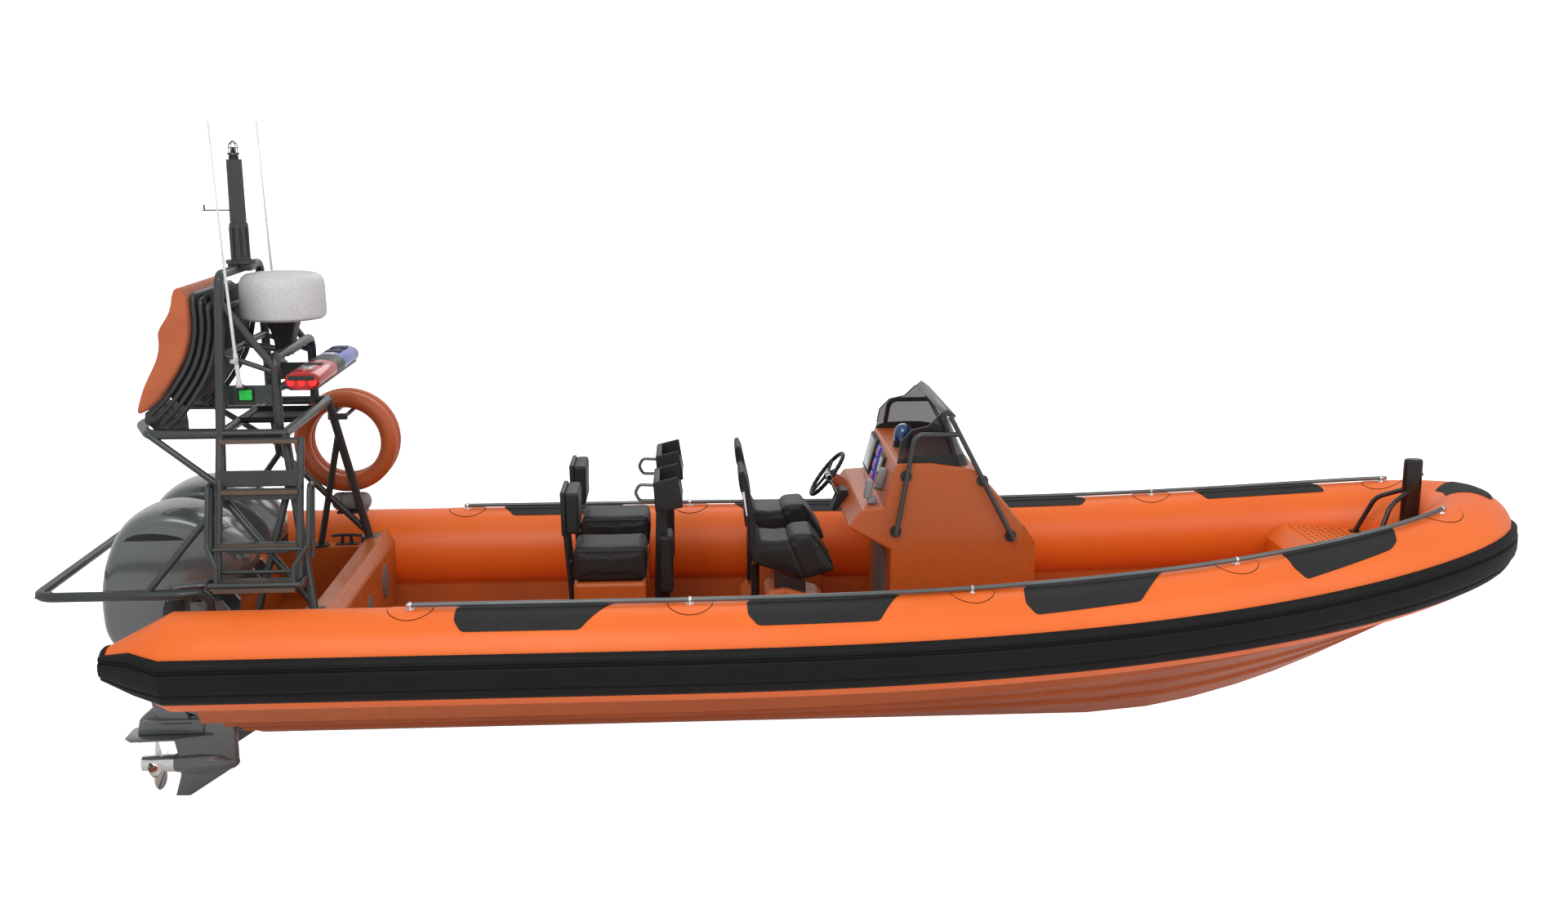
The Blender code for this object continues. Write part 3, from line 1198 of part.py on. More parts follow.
# Seats
REAR_POD_TOP = 0.557
JOCKEY_OUTLINE = (
    (3.445, 0.622), (3.376, 0.640), (3.356, 0.668), (3.348, 0.862), (3.334, 1.014), (3.301, 1.115), (3.290, 1.225),
    (3.302, 1.246), (3.330, 1.246), (3.348, 1.185), (3.373, 1.063), (3.397, 0.962), (3.408, 0.840), (3.422, 0.800),
    (3.519, 0.795), (3.579, 0.803), (3.618, 0.834), (3.732, 0.846), (3.791, 0.778), (3.851, 0.674), (3.896, 0.602),
    (3.791, 0.564), (3.700, 0.530),
)
for side, seat_side in ((-1, "stbd"), (1, "port")):
    y = side * SEAT_SPREAD
    left, right = y - SEAT_HALF_WIDTH, y + SEAT_HALF_WIDTH
    place("rear_seat_pod_" + seat_side, slab(
        [
            (2.33, DECK_TOP), (2.30, 0.30), (2.30, REAR_POD_TOP),
            (2.735, REAR_POD_TOP), (2.735, 0.30), (2.66, DECK_TOP),
        ], left, right, 0.02,
    ), MOULDING, 30)
    cushion = block((2.293, left, REAR_POD_TOP + GAP), (2.746, right, 0.778), 0.035, 2)
    place("rear_seat_cushion_" + seat_side, cushion, VINYL)
    pad = [(2.236, 0.842), (2.232, 1.118), (2.345, 1.118), (2.341, 0.842)]
    frame = [slab(pad, left + 0.01, right - 0.01, 0.018, 1)]
    for off in (-0.12, 0.12):
        frame.append(pipe([(2.283, y + off, 0.30), (2.283, y + off, 0.44), (2.252, y + off, 0.90)], 0.013, 6))
        frame.append(block((2.274, y + off - 0.02, 0.31), (2.30 - GAP, y + off + 0.02, 0.37)))
    frame.append(strut((2.270, y - 0.12, 0.62), (2.270, y + 0.12, 0.62), 0.009, 6))
    place("rear_seat_back_" + seat_side, fuse(frame), VINYL, 30)

    loop = [(2.80, 1.113), (2.70, 1.118), (2.675, 1.068), (2.70, 1.019), (2.80, 1.017)]
    grip = [
        slab([(2.787, 1.173), (2.937, 1.209), (2.966, 1.017), (2.799, 0.993)], y - 0.205, y + 0.205, 0.008, 1),
        slab([(2.775, DECK_TOP), (2.80, 1.01), (2.865, 1.01), (2.865, DECK_TOP)], y - 0.05, y + 0.05),
        pipe(rounded([(x, y, z) for x, z in loop], 0.02, 2), 0.011, 6),
        block((2.81, y - 0.12, 0.45), (2.90, y + 0.12, 0.83), 0.02, 1),
        block((2.76, y - 0.09, DECK_TOP), (2.90, y + 0.09, DECK_TOP + 0.015)),
    ]
    place("handhold_" + seat_side, fuse(grip), PLASTIC, 30)

    seat = slab(JOCKEY_OUTLINE, left + 0.01, right - 0.01, 0.016, 2)
    plinth = [
        (3.32, DECK_TOP), (3.32, 0.20), (3.44, 0.30), (3.46, 0.47),
        (3.58, 0.49), (3.80, 0.42), (3.87, 0.30), (3.87, DECK_TOP),
    ]
    base = [
        slab(plinth, y - 0.16, y + 0.16, 0.02, 1),
        slab([(3.50, 0.40), (3.50, 0.66), (3.70, 0.60), (3.70, 0.40)], y - 0.10, y + 0.10),
        drum((3.40, y, 0.22), (3.40, y, 0.68), 0.020, sides=10),
    ]
    seat_room = slab(JOCKEY_OUTLINE, left - 0.01, right + 0.01)
    seat_room.transform(Matrix.Translation((0, 0, -GAP)))
    place("jockey_base_" + seat_side, cut(fuse(base), [seat_room]), MOULDING, 30)
    place("jockey_seat_" + seat_side, seat, VINYL)


# Bow locker and towing post
LOCKER_STATIONS = (
    (LOCKER_AFT, LOCKER_CHAMFER_Z), (LOCKER_AFT + 0.083, LOCKER_TOP), (7.25, LOCKER_TOP), (7.45, LOCKER_TOP),
    (7.62, LOCKER_TOP), (LOCKER_FRONT, LOCKER_TOP),
)
locker_rings = []
for x, top in LOCKER_STATIONS:
    half = max(half_breadth(x) - TUBE_RADIUS - 0.03, 0.05)
    floor = deck_height(x) + GAP
    locker_rings.append([(x, -half, floor), (x, half, floor), (x, half, top), (x, -half, top)])
place("bow_locker", cut(loft(locker_rings), [collar_cutter()]), MOULDING, 25)

post_rings = []
for z, size in ((LOCKER_TOP + GAP, 1.0), (0.70, 1.0), (1.07, 1.0), (1.105, 0.9), (POST_TOP, 0.6)):
    ring = []
    for i in range(16):
        angle = 2 * math.pi * i / 16
        ring.append((POST_X + POST_HALF[0] * size * math.cos(angle), POST_HALF[1] * size * math.sin(angle), z))
    post_rings.append(ring)
post = [loft(post_rings)]
for side in (-1, 1):
    brace = [(7.65, side * 0.03, 0.915), (7.50, side * 0.115, 0.845), (7.40, side * 0.165, LOCKER_TOP - 0.01)]
    post.append(pipe(rounded(brace, 0.09, 2), 0.016, 6))
    pad_low = (7.36, side * 0.165 - 0.035, LOCKER_TOP - 0.01)
    pad_high = (7.44, side * 0.165 + 0.035, LOCKER_TOP + 0.010)
    post.append(block(pad_low, pad_high))
post.append(block((7.60, -0.08, LOCKER_TOP + GAP), (7.72, 0.08, LOCKER_TOP + 0.015)))
post_room = [collar_cutter(), block((7.0, -0.5, 0.4), (8.0, 0.5, LOCKER_TOP + GAP))]
place("towing_post", cut(fuse(post), post_room), ARCH_STEEL, 30)
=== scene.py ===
import math

import bmesh
import bpy
from mathutils import Matrix, Vector
from mathutils.bvhtree import BVHTree


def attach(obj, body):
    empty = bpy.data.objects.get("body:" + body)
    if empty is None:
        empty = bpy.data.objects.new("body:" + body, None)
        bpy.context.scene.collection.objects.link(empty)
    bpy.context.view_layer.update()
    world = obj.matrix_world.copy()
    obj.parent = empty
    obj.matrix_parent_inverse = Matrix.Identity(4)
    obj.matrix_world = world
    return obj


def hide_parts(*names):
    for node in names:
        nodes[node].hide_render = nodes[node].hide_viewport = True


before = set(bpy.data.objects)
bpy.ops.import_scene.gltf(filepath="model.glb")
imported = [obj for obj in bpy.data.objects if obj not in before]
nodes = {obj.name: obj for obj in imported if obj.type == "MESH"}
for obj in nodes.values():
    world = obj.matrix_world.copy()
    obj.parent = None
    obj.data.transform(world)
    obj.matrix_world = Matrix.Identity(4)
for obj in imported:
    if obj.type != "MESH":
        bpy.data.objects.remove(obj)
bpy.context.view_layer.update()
scene = bpy.context.scene


# Hull, stern moulding, console and seat pods; the bow locker takes a brighter gelcoat further on.
# Glass fibre mouldings in an orange gelcoat, which is glossy over a faintly rippled laminate,
# with a fine mottle of pigment and paler worn edges.
def new_group(name, settings, results):
    """An empty node group with a vector and numbers going in, and numbers coming out."""
    group = bpy.data.node_groups.new(name, "ShaderNodeTree")
    face = group.interface
    face.new_socket(name="Vector", in_out="INPUT", socket_type="NodeSocketVector")
    for label, value in settings:
        socket = face.new_socket(name=label, in_out="INPUT", socket_type="NodeSocketFloat")
        socket.default_value = value
    for label in results:
        face.new_socket(name=label, in_out="OUTPUT", socket_type="NodeSocketFloat")
    return group, group.nodes.new("NodeGroupInput"), group.nodes.new("NodeGroupOutput")


def fine_grain_group():
    """Node group: a cloudy tone with fine grain, and the grain's height."""
    settings = (("Grain Scale", 200.0), ("Cloud Scale", 3.0), ("Grain Share", 0.5))
    group, source, sink = new_group("fine_grain", settings, ("Tone", "Height"))
    fine = group.nodes.new("ShaderNodeTexNoise")
    cloud = group.nodes.new("ShaderNodeTexNoise")
    blend = group.nodes.new("ShaderNodeMix")
    fine.inputs["Detail"].default_value = 2.0
    cloud.inputs["Detail"].default_value = 4.0
    link = group.links.new
    link(source.outputs["Vector"], fine.inputs["Vector"])
    link(source.outputs["Vector"], cloud.inputs["Vector"])
    link(source.outputs["Grain Scale"], fine.inputs["Scale"])
    link(source.outputs["Cloud Scale"], cloud.inputs["Scale"])
    link(source.outputs["Grain Share"], blend.inputs[0])
    link(cloud.outputs["Fac"], blend.inputs[2])
    link(fine.outputs["Fac"], blend.inputs[3])
    stretch = group.nodes.new("ShaderNodeMapRange")
    stretch.inputs["From Min"].default_value = 0.34
    stretch.inputs["From Max"].default_value = 0.66
    link(blend.outputs[0], stretch.inputs["Value"])
    link(stretch.outputs["Result"], sink.inputs["Tone"])
    link(fine.outputs["Fac"], sink.inputs["Height"])
    return group


def edge_wear_group():
    """Node group: a mask of the outward edges, broken up by noise."""
    group, source, sink = new_group("edge_wear", (("Amount", 0.3),), ("Mask",))
    shape = group.nodes.new("ShaderNodeNewGeometry")
    edges = group.nodes.new("ShaderNodeMapRange")
    edges.inputs["From Min"].default_value = 0.52
    edges.inputs["From Max"].default_value = 0.62
    rub = group.nodes.new("ShaderNodeTexNoise")
    rub.inputs["Scale"].default_value = 14.0
    both = group.nodes.new("ShaderNodeMath")
    both.operation = "MULTIPLY"
    share = group.nodes.new("ShaderNodeMath")
    share.operation = "MULTIPLY"
    link = group.links.new
    link(shape.outputs["Pointiness"], edges.inputs["Value"])
    link(source.outputs["Vector"], rub.inputs["Vector"])
    link(edges.outputs["Result"], both.inputs[0])
    link(rub.outputs["Fac"], both.inputs[1])
    link(both.outputs[0], share.inputs[0])
    link(source.outputs["Amount"], share.inputs[1])
    link(share.outputs[0], sink.inputs["Mask"])
    return group


FINE_GRAIN = fine_grain_group()
EDGE_WEAR = edge_wear_group()


def finish(name, light, dark, rough=(0.30, 0.42), grain=260.0, cloud=2.5, share=0.5, bump=0.06, wear=0.0,
           worn=(0.6, 0.6, 0.6), **sockets):
    """A finish whose colour, gloss and relief vary, with worn edges where asked."""
    material = bpy.data.materials.new(name)
    material.use_nodes = True
    tree = material.node_tree
    shader = tree.nodes["Principled BSDF"]
    place = tree.nodes.new("ShaderNodeTexCoord")
    texture = tree.nodes.new("ShaderNodeGroup")
    texture.node_tree = FINE_GRAIN
    texture.inputs["Grain Scale"].default_value = grain
    texture.inputs["Cloud Scale"].default_value = cloud
    texture.inputs["Grain Share"].default_value = share
    colour = tree.nodes.new("ShaderNodeMix")
    colour.data_type = "RGBA"
    colour.inputs[6].default_value = (*dark, 1.0)
    colour.inputs[7].default_value = (*light, 1.0)
    gloss = tree.nodes.new("ShaderNodeMapRange")
    gloss.inputs["To Min"].default_value = rough[1]
    gloss.inputs["To Max"].default_value = rough[0]
    relief = tree.nodes.new("ShaderNodeBump")
    relief.inputs["Strength"].default_value = bump
    relief.inputs["Distance"].default_value = 0.002
    link = tree.links.new
    link(place.outputs["Object"], texture.inputs["Vector"])
    link(texture.outputs["Tone"], colour.inputs[0])
    link(texture.outputs["Tone"], gloss.inputs["Value"])
    link(texture.outputs["Height"], relief.inputs["Height"])
    link(gloss.outputs["Result"], shader.inputs["Roughness"])
    link(relief.outputs["Normal"], shader.inputs["Normal"])
    painted = colour.outputs[2]
    if wear:
        rubbed = tree.nodes.new("ShaderNodeGroup")
        rubbed.node_tree = EDGE_WEAR
        rubbed.inputs["Amount"].default_value = wear
        edge = tree.nodes.new("ShaderNodeMix")
        edge.data_type = "RGBA"
        edge.inputs[7].default_value = (*worn, 1.0)
        link(place.outputs["Object"], rubbed.inputs["Vector"])
        link(rubbed.outputs["Mask"], edge.inputs[0])
        link(painted, edge.inputs[6])
        painted = edge.outputs[2]
    link(painted, shader.inputs["Base Color"])
    for socket, value in sockets.items():
        shader.inputs[socket.replace("_", " ")].default_value = value
    return material


gelcoat = finish(
    "orange_gelcoat", (0.50, 0.105, 0.014), (0.36, 0.064, 0.008), (0.34, 0.44), 420.0, 1.6, 0.62, 0.05,
    wear=0.35, worn=(0.80, 0.28, 0.10), Coat_Weight=0.22, Coat_Roughness=0.18, Specular_IOR_Level=0.35,
)


def paint(material, *names):
    """Give solids of the CAD, which show as they are, one finish."""
    for name in names:
        nodes[name].data.materials.clear()
        nodes[name].data.materials.append(material)


paint(
    gelcoat, "hull", "stern_coaming", "console", "rear_seat_pod_port", "rear_seat_pod_stbd",
    "jockey_base_port",
    "jockey_base_stbd",
)


# Inflated collar with its two cone ends.
# Coated orange cloth in panels, glued with flat lap seams, under pressure, so it is a smooth
# round tube. Lengths run along the tube's axis from the starboard cone's tip.
TUBE_RADIUS = 0.278
TUBE_TIP_RADIUS = 0.08
TUBE_TIP_X = -0.26
TUBE_CONE = 0.38
TUBE_SPREAD = 1.18
BOW_START = 2.8
BOW_STEPS = 400
STRAKE_MIDDLE = -9.5
BOW_PLAN = (Vector((2.8, 1.18)), Vector((5.4, 1.18)), Vector((8.04, 0.72)), Vector((8.04, 0.0)))


def bow_plan(share):
    """Plan point of the tube's axis round the bow."""
    rest = 1.0 - share
    weights = (rest ** 3, 3 * rest * rest * share, 3 * rest * share * share, share ** 3)
    return sum((point * weight for point, weight in zip(BOW_PLAN, weights)), Vector((0.0, 0.0)))


bow_points = [bow_plan(step / BOW_STEPS) for step in range(BOW_STEPS + 1)]
bow_runs = [BOW_START - TUBE_TIP_X]
for behind, ahead in zip(bow_points, bow_points[1:]):
    bow_runs.append(bow_runs[-1] + (ahead - behind).length)
STEM_RUN = bow_runs[-1]


def tube_axis(run):
    """Plan point and outward direction of the tube's axis, port side after the stem."""
    port = run > STEM_RUN
    run = 2 * STEM_RUN - run if port else run
    if run <= bow_runs[0]:
        point, outward = Vector((run + TUBE_TIP_X, TUBE_SPREAD)), Vector((0.0, 1.0))
    else:
        low, high = 0, BOW_STEPS
        while high - low > 1:
            middle = (low + high) // 2
            low, high = (middle, high) if bow_runs[middle] < run else (low, middle)
        share = min(1.0, (run - bow_runs[low]) / (bow_runs[high] - bow_runs[low]))
        point = bow_points[low].lerp(bow_points[high], share)
        heading = (bow_points[high] - bow_points[low]).normalized()
        outward = Vector((-heading.y, heading.x))
        if run > STEM_RUN - 0.02:
            outward = Vector((1.0, 0.0))
    side = 1.0 if port else -1.0
    return Vector((point.x, side * point.y)), Vector((outward.x, side * outward.y))


def tube_height(x):
    """Height of the tube's axis, which rises to the bow."""
    return 0.329 + 0.33 * (max(0.0, x - 3.0) / 5.04) ** 2.85


def tube_radius(run):
    """Radius of the tube, which tapers over the cones."""
    inside = max(0.0, min(run, 2 * STEM_RUN - run))
    return TUBE_TIP_RADIUS + (TUBE_RADIUS - TUBE_TIP_RADIUS) * min(1.0, inside / TUBE_CONE)


def on_tube(run, degrees, lift=0.0):
    """A point on the tube: 0 degrees outboard, 90 on its crown, 180 inboard."""
    point, outward = tube_axis(run)
    radius = tube_radius(run)
    reach = (radius + lift) * math.cos(math.radians(degrees))
    height = tube_height(point.x) + (radius + lift) * math.sin(math.radians(degrees))
    return Vector((point.x + outward.x * reach, point.y + outward.y * reach, height))


def add_piece(name, bm, material, stands_for=(), body="hull", smooth=35):
    """A finished mesh as one piece that rides on a body."""
    mesh = bpy.data.meshes.new(name)
    bmesh.ops.remove_doubles(bm, verts=bm.verts, dist=0.00001)
    bmesh.ops.recalc_face_normals(bm, faces=bm.faces)
    bm.to_mesh(mesh)
    bm.free()
    mesh.materials.append(material)
    mesh.shade_smooth()
    mesh.set_sharp_from_angle(angle=math.radians(smooth))
    piece = bpy.data.objects.new(name, mesh)
    scene.collection.objects.link(piece)
    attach(piece, body)
    if stands_for:
        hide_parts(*stands_for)
    return piece


def add_loops(bm, rings):
    """Bridge rings of points into a skin with closed ends."""
    loops = []
    for ring in rings:
        verts = [bm.verts.new(point) for point in ring]
        loops.append([bm.edges.new((verts[i], verts[(i + 1) % len(verts)])) for i in range(len(verts))])
    for first, second in zip(loops, loops[1:]):
        bmesh.ops.bridge_loops(bm, edges=first + second)
    bmesh.ops.holes_fill(bm, edges=loops[0] + loops[-1], sides=0)


def wrap_runs():
    """Stations along the whole tube, close together round the bow and at the cones."""
    half = [0.0, 0.19, TUBE_CONE - 0.004, TUBE_CONE + 0.004]
    half += [0.6 + 0.2 * step for step in range(12)]
    half += [3.1 + (STEM_RUN - 3.1) * step / 52 for step in range(53)]
    return half + [2 * STEM_RUN - run for run in reversed(half[:-1])]


def add_wrapped_section(bm, section, widening=1.0):
    """Sweep a closed section of (degrees, lift) along the tube. Widening keeps a band's width at the tips."""
    rows = []
    for run in wrap_runs():
        stretch = min(widening, TUBE_RADIUS / tube_radius(run))
        middle = STRAKE_MIDDLE if widening > 1.0 else 0.0
        rows.append([on_tube(run, middle + (degrees - middle) * stretch, lift) for degrees, lift in section])
    add_loops(bm, rows)


bm = bmesh.new()
add_wrapped_section(bm, [(360 * step / 72, 0.0) for step in range(72)])
collar_cloth = finish(
    "orange_tube_cloth", (0.95, 0.175, 0.014), (0.86, 0.135, 0.009), (0.38, 0.48), 700.0, 1.2, 0.45, 0.05,
    Coat_Weight=0.10, Coat_Roughness=0.35, Sheen_Weight=0.03, Specular_IOR_Level=0.40,
)
add_piece("collar_skin", bm, collar_cloth, ["tube_collar"], smooth=22)

# Panel seams of the collar.
# Flat tape of the same cloth, glued round the tube at each joint of two panels.
bm = bmesh.new()
SEAM_RUNS = (0.39, 2.30, 4.75, 7.05)
for run in SEAM_RUNS + tuple(2 * STEM_RUN - seam for seam in SEAM_RUNS):
    loops = []
    for offset, lift in ((-0.018, -0.001), (-0.0165, 0.0007), (0.0165, 0.0007), (0.018, -0.001)):
        ring = [bm.verts.new(on_tube(run + offset, 24 + 290 * step / 60, lift)) for step in range(61)]
        loops.append([bm.edges.new(pair) for pair in zip(ring, ring[1:])])
    for first, second in zip(loops, loops[1:] + loops[:1]):
        bmesh.ops.bridge_loops(bm, edges=first + second)
add_piece("collar_seams", bm, collar_cloth)

# Rubbing strake.
# Three ribs of black rubber, moulded in one band and glued round the outside of the collar.
STRAKE_FACE = (
    (19.2, 0.010), (15.5, 0.0235), (12.0, 0.0285), (8.6, 0.0280), (7.2, 0.0170), (5.0, 0.0160), (3.6, 0.0280),
    (2.0, 0.0310), (-6.0, 0.0325), (-15.0, 0.0310), (-18.2, 0.0280), (-19.8, 0.0160), (-22.4, 0.0150),
    (-24.0, 0.0245), (-30.0, 0.0255), (-35.0, 0.0190), (-38.0, 0.0080),
)
black_rubber = finish(
    "black_rubber_strake", (0.0075, 0.0075, 0.008), (0.0045, 0.0045, 0.005), (0.50, 0.64), 500.0, 2.0, 0.6,
    0.06,
    wear=0.08, worn=(0.05, 0.05, 0.05), Specular_IOR_Level=0.20,
)
bm = bmesh.new()
inner = [(-38.5 + 58.0 * step / 12, -0.002) for step in range(13)]
add_wrapped_section(bm, inner + list(STRAKE_FACE), 1.9)
add_piece("strake_bands", bm, black_rubber, ["rubbing_strake"], smooth=14)

# Cone end caps.
# Black rubber cups glued over the tips of the cones, with the strake's ends under their rims.
def add_turned(bm, profile, centre, steps, upright=False):
    """Turn a profile of (place along the axis, radius), about an axis along the boat or upright."""
    x, y, z = centre
    spine = []
    for place, radius in profile:
        spine.append(bm.verts.new((x + radius, y, place) if upright else (place, y, z + radius)))
    edges = [bm.edges.new(pair) for pair in zip(spine, spine[1:])]
    axis = (0, 0, 1) if upright else (1, 0, 0)
    bmesh.ops.spin(
        bm, geom=spine + edges, cent=centre, axis=axis, angle=2 * math.pi, steps=steps, use_merge=True,
    )
    bmesh.ops.holes_fill(bm, edges=[edge for edge in bm.edges if edge.is_boundary], sides=0)


CAP = ((-0.228, 0.096), (-0.230, 0.102), (-0.250, 0.096), (-0.266, 0.082), (-0.272, 0.062), (-0.274, 0.028))
bm = bmesh.new()
for side in (-1, 1):
    add_turned(bm, CAP, (0, side * TUBE_SPREAD, tube_height(0)), 36)
add_piece("cone_caps", bm, black_rubber)


# Wear pads on the crown of the collar.
# Ribbed black rubber sheet, 4 mm thick with rounded corners, where people climb and sit.
def slice_up(flat, axis, count):
    """Cut a flat sheet into strips across an axis."""
    places = [vert.co[axis] for vert in flat.verts]
    low, high = min(places), max(places)
    normal = Vector([float(axis == number) for number in range(3)])
    for step in range(1, count):
        every = flat.verts[:] + flat.edges[:] + flat.faces[:]
        cut = normal * (low + (high - low) * step / count)
        bmesh.ops.bisect_plane(flat, geom=every, plane_co=cut, plane_no=normal)


def pulled(part, face, move):
    """Extrude a part's face or faces straight, and return the moved points."""
    side = bmesh.ops.extrude_face_region(part, geom=face)
    moved = [item for item in side["geom"] if isinstance(item, bmesh.types.BMVert)]
    bmesh.ops.translate(part, vec=move, verts=moved)
    return set(moved)


def add_tube_pad(bm, outline, thickness, corner=0.02, mirrored=False):
    """A sheet cut to an outline of (run, degrees) corners and laid on the tube."""
    flat = bmesh.new()
    girth = math.pi * TUBE_RADIUS / 180
    face = flat.faces.new([flat.verts.new((run, degrees * girth, 0)) for run, degrees in outline])
    if corner:
        bmesh.ops.bevel(
            flat, geom=flat.verts[:], offset=corner, segments=4, profile=0.5, affect="VERTICES", material=-1,
        )
    slice_up(flat, 0, 24)
    slice_up(flat, 1, 14)
    top = pulled(flat, flat.faces[:], (0, 0, 0))
    for vert in flat.verts:
        run = 2 * STEM_RUN - vert.co.x if mirrored else vert.co.x
        vert.co = on_tube(run, vert.co.y / girth, thickness if vert in top else -0.001)
    sheet = bpy.data.meshes.new("sheet")
    flat.to_mesh(sheet)
    flat.free()
    bm.from_mesh(sheet)
    bpy.data.meshes.remove(sheet)


WEAR_PADS = (
    ((2.03, 115), (1.955, 88), (1.955, 62), (2.00, 46), (2.65, 46), (2.78, 82), (2.84, 100), (2.80, 115)),
    ((3.66, 115), (3.58, 88), (3.58, 62), (3.63, 46), (4.31, 46), (4.42, 82), (4.47, 100), (4.43, 115)),
    ((5.27, 115), (5.18, 86), (5.155, 58), (5.20, 41), (5.82, 45), (5.96, 76), (6.06, 100), (6.02, 115)),
    ((6.88, 115), (6.82, 92), (6.805, 60), (6.85, 41), (7.46, 55), (7.53, 64), (7.62, 92), (7.67, 115)),
)
pad_rubber = finish(
    "black_wear_sheet", (0.026, 0.026, 0.027), (0.012, 0.012, 0.013), (0.58, 0.74), 240.0, 3.0, 0.85, 0.20,
    Specular_IOR_Level=0.28,
)
for side, mirrored in (("stbd", False), ("port", True)):
    bm = bmesh.new()
    for outline in WEAR_PADS:
        add_tube_pad(bm, outline, 0.0035, 0.022, mirrored)
    add_piece("wear_pads_" + side, bm, pad_rubber)
bm = bmesh.new()
stem_pad = ((STEM_RUN - 0.14, 122), (STEM_RUN - 0.17, 62), (STEM_RUN + 0.17, 62), (STEM_RUN + 0.14, 122))
add_tube_pad(bm, stem_pad, 0.0035, 0.02)
add_piece("wear_pad_bow", bm, pad_rubber)


# Grab rails along the collar.
# Grey painted steel tube on round patches of collar cloth, held at each by a bright clamp.
def rounded(points, bend, steps=5):
    """The same route with each corner turned into an arc."""
    points = [Vector(point) for point in points]
    route = [points[0]]
    for before, corner, after in zip(points, points[1:], points[2:]):
        back, ahead = (before - corner).normalized(), (after - corner).normalized()
        half = back.angle(ahead) / 2
        if half > math.radians(82):
            route.append(corner)
            continue
        reach = min(bend / math.tan(half), 0.46 * (before - corner).length, 0.46 * (after - corner).length)
        radius = reach * math.tan(half)
        centre = corner + (back + ahead).normalized() * (radius / math.sin(half))
        start, stop = corner + back * reach - centre, corner + ahead * reach - centre
        for step in range(steps + 1):
            route.append(centre + start.slerp(stop, step / steps).normalized() * radius)
    return route + [points[-1]]


def add_bent_bar(bm, points, radius, bend=0.0, ring=4):
    """A bent round tube along a route."""
    curve = bpy.data.curves.new("route", "CURVE")
    curve.dimensions = "3D"
    curve.bevel_depth = radius
    curve.bevel_resolution = ring
    curve.use_fill_caps = True
    route = rounded(points, bend) if bend else [Vector(point) for point in points]
    spline = curve.splines.new("POLY")
    spline.points.add(len(route) - 1)
    for point, place in zip(spline.points, route):
        point.co = (*place, 1.0)
    holder = bpy.data.objects.new("route", curve)
    scene.collection.objects.link(holder)
    graph = bpy.context.evaluated_depsgraph_get()
    tube = bpy.data.meshes.new_from_object(holder.evaluated_get(graph))
    bm.from_mesh(tube)
    bpy.data.objects.remove(holder, do_unlink=True)
    bpy.data.curves.remove(curve)
    bpy.data.meshes.remove(tube)


def add_bar(bm, start, end, radius, end_radius=None, sides=20):
    """A straight round bar or cone between two points."""
    start, end = Vector(start), Vector(end)
    turn = (end - start).to_track_quat("Z", "Y").to_matrix().to_4x4()
    made = bmesh.ops.create_cone(
        bm, cap_ends=True, segments=sides, radius1=radius,
        radius2=radius if end_radius is None else end_radius,
        depth=(end - start).length, matrix=Matrix.Translation((start + end) / 2) @ turn,
    )
    return made["verts"]


def add_ring(bm, centre, axis, radius, section, sides=48, facets=16):
    """A round ring about an axis."""
    axis = Vector(axis).normalized()
    spoke = axis.orthogonal().normalized()
    turn = Matrix((spoke, axis, spoke.cross(axis))).transposed().to_4x4()
    made = bmesh.ops.create_circle(
        bm, segments=facets, radius=section,
        matrix=Matrix.Translation(Vector(centre) + spoke * radius) @ turn,
    )
    loop = list({edge for vert in made["verts"] for edge in vert.link_edges})
    bmesh.ops.spin(
        bm, geom=made["verts"] + loop, cent=centre, axis=axis, angle=2 * math.pi, steps=sides, use_merge=True,
    )


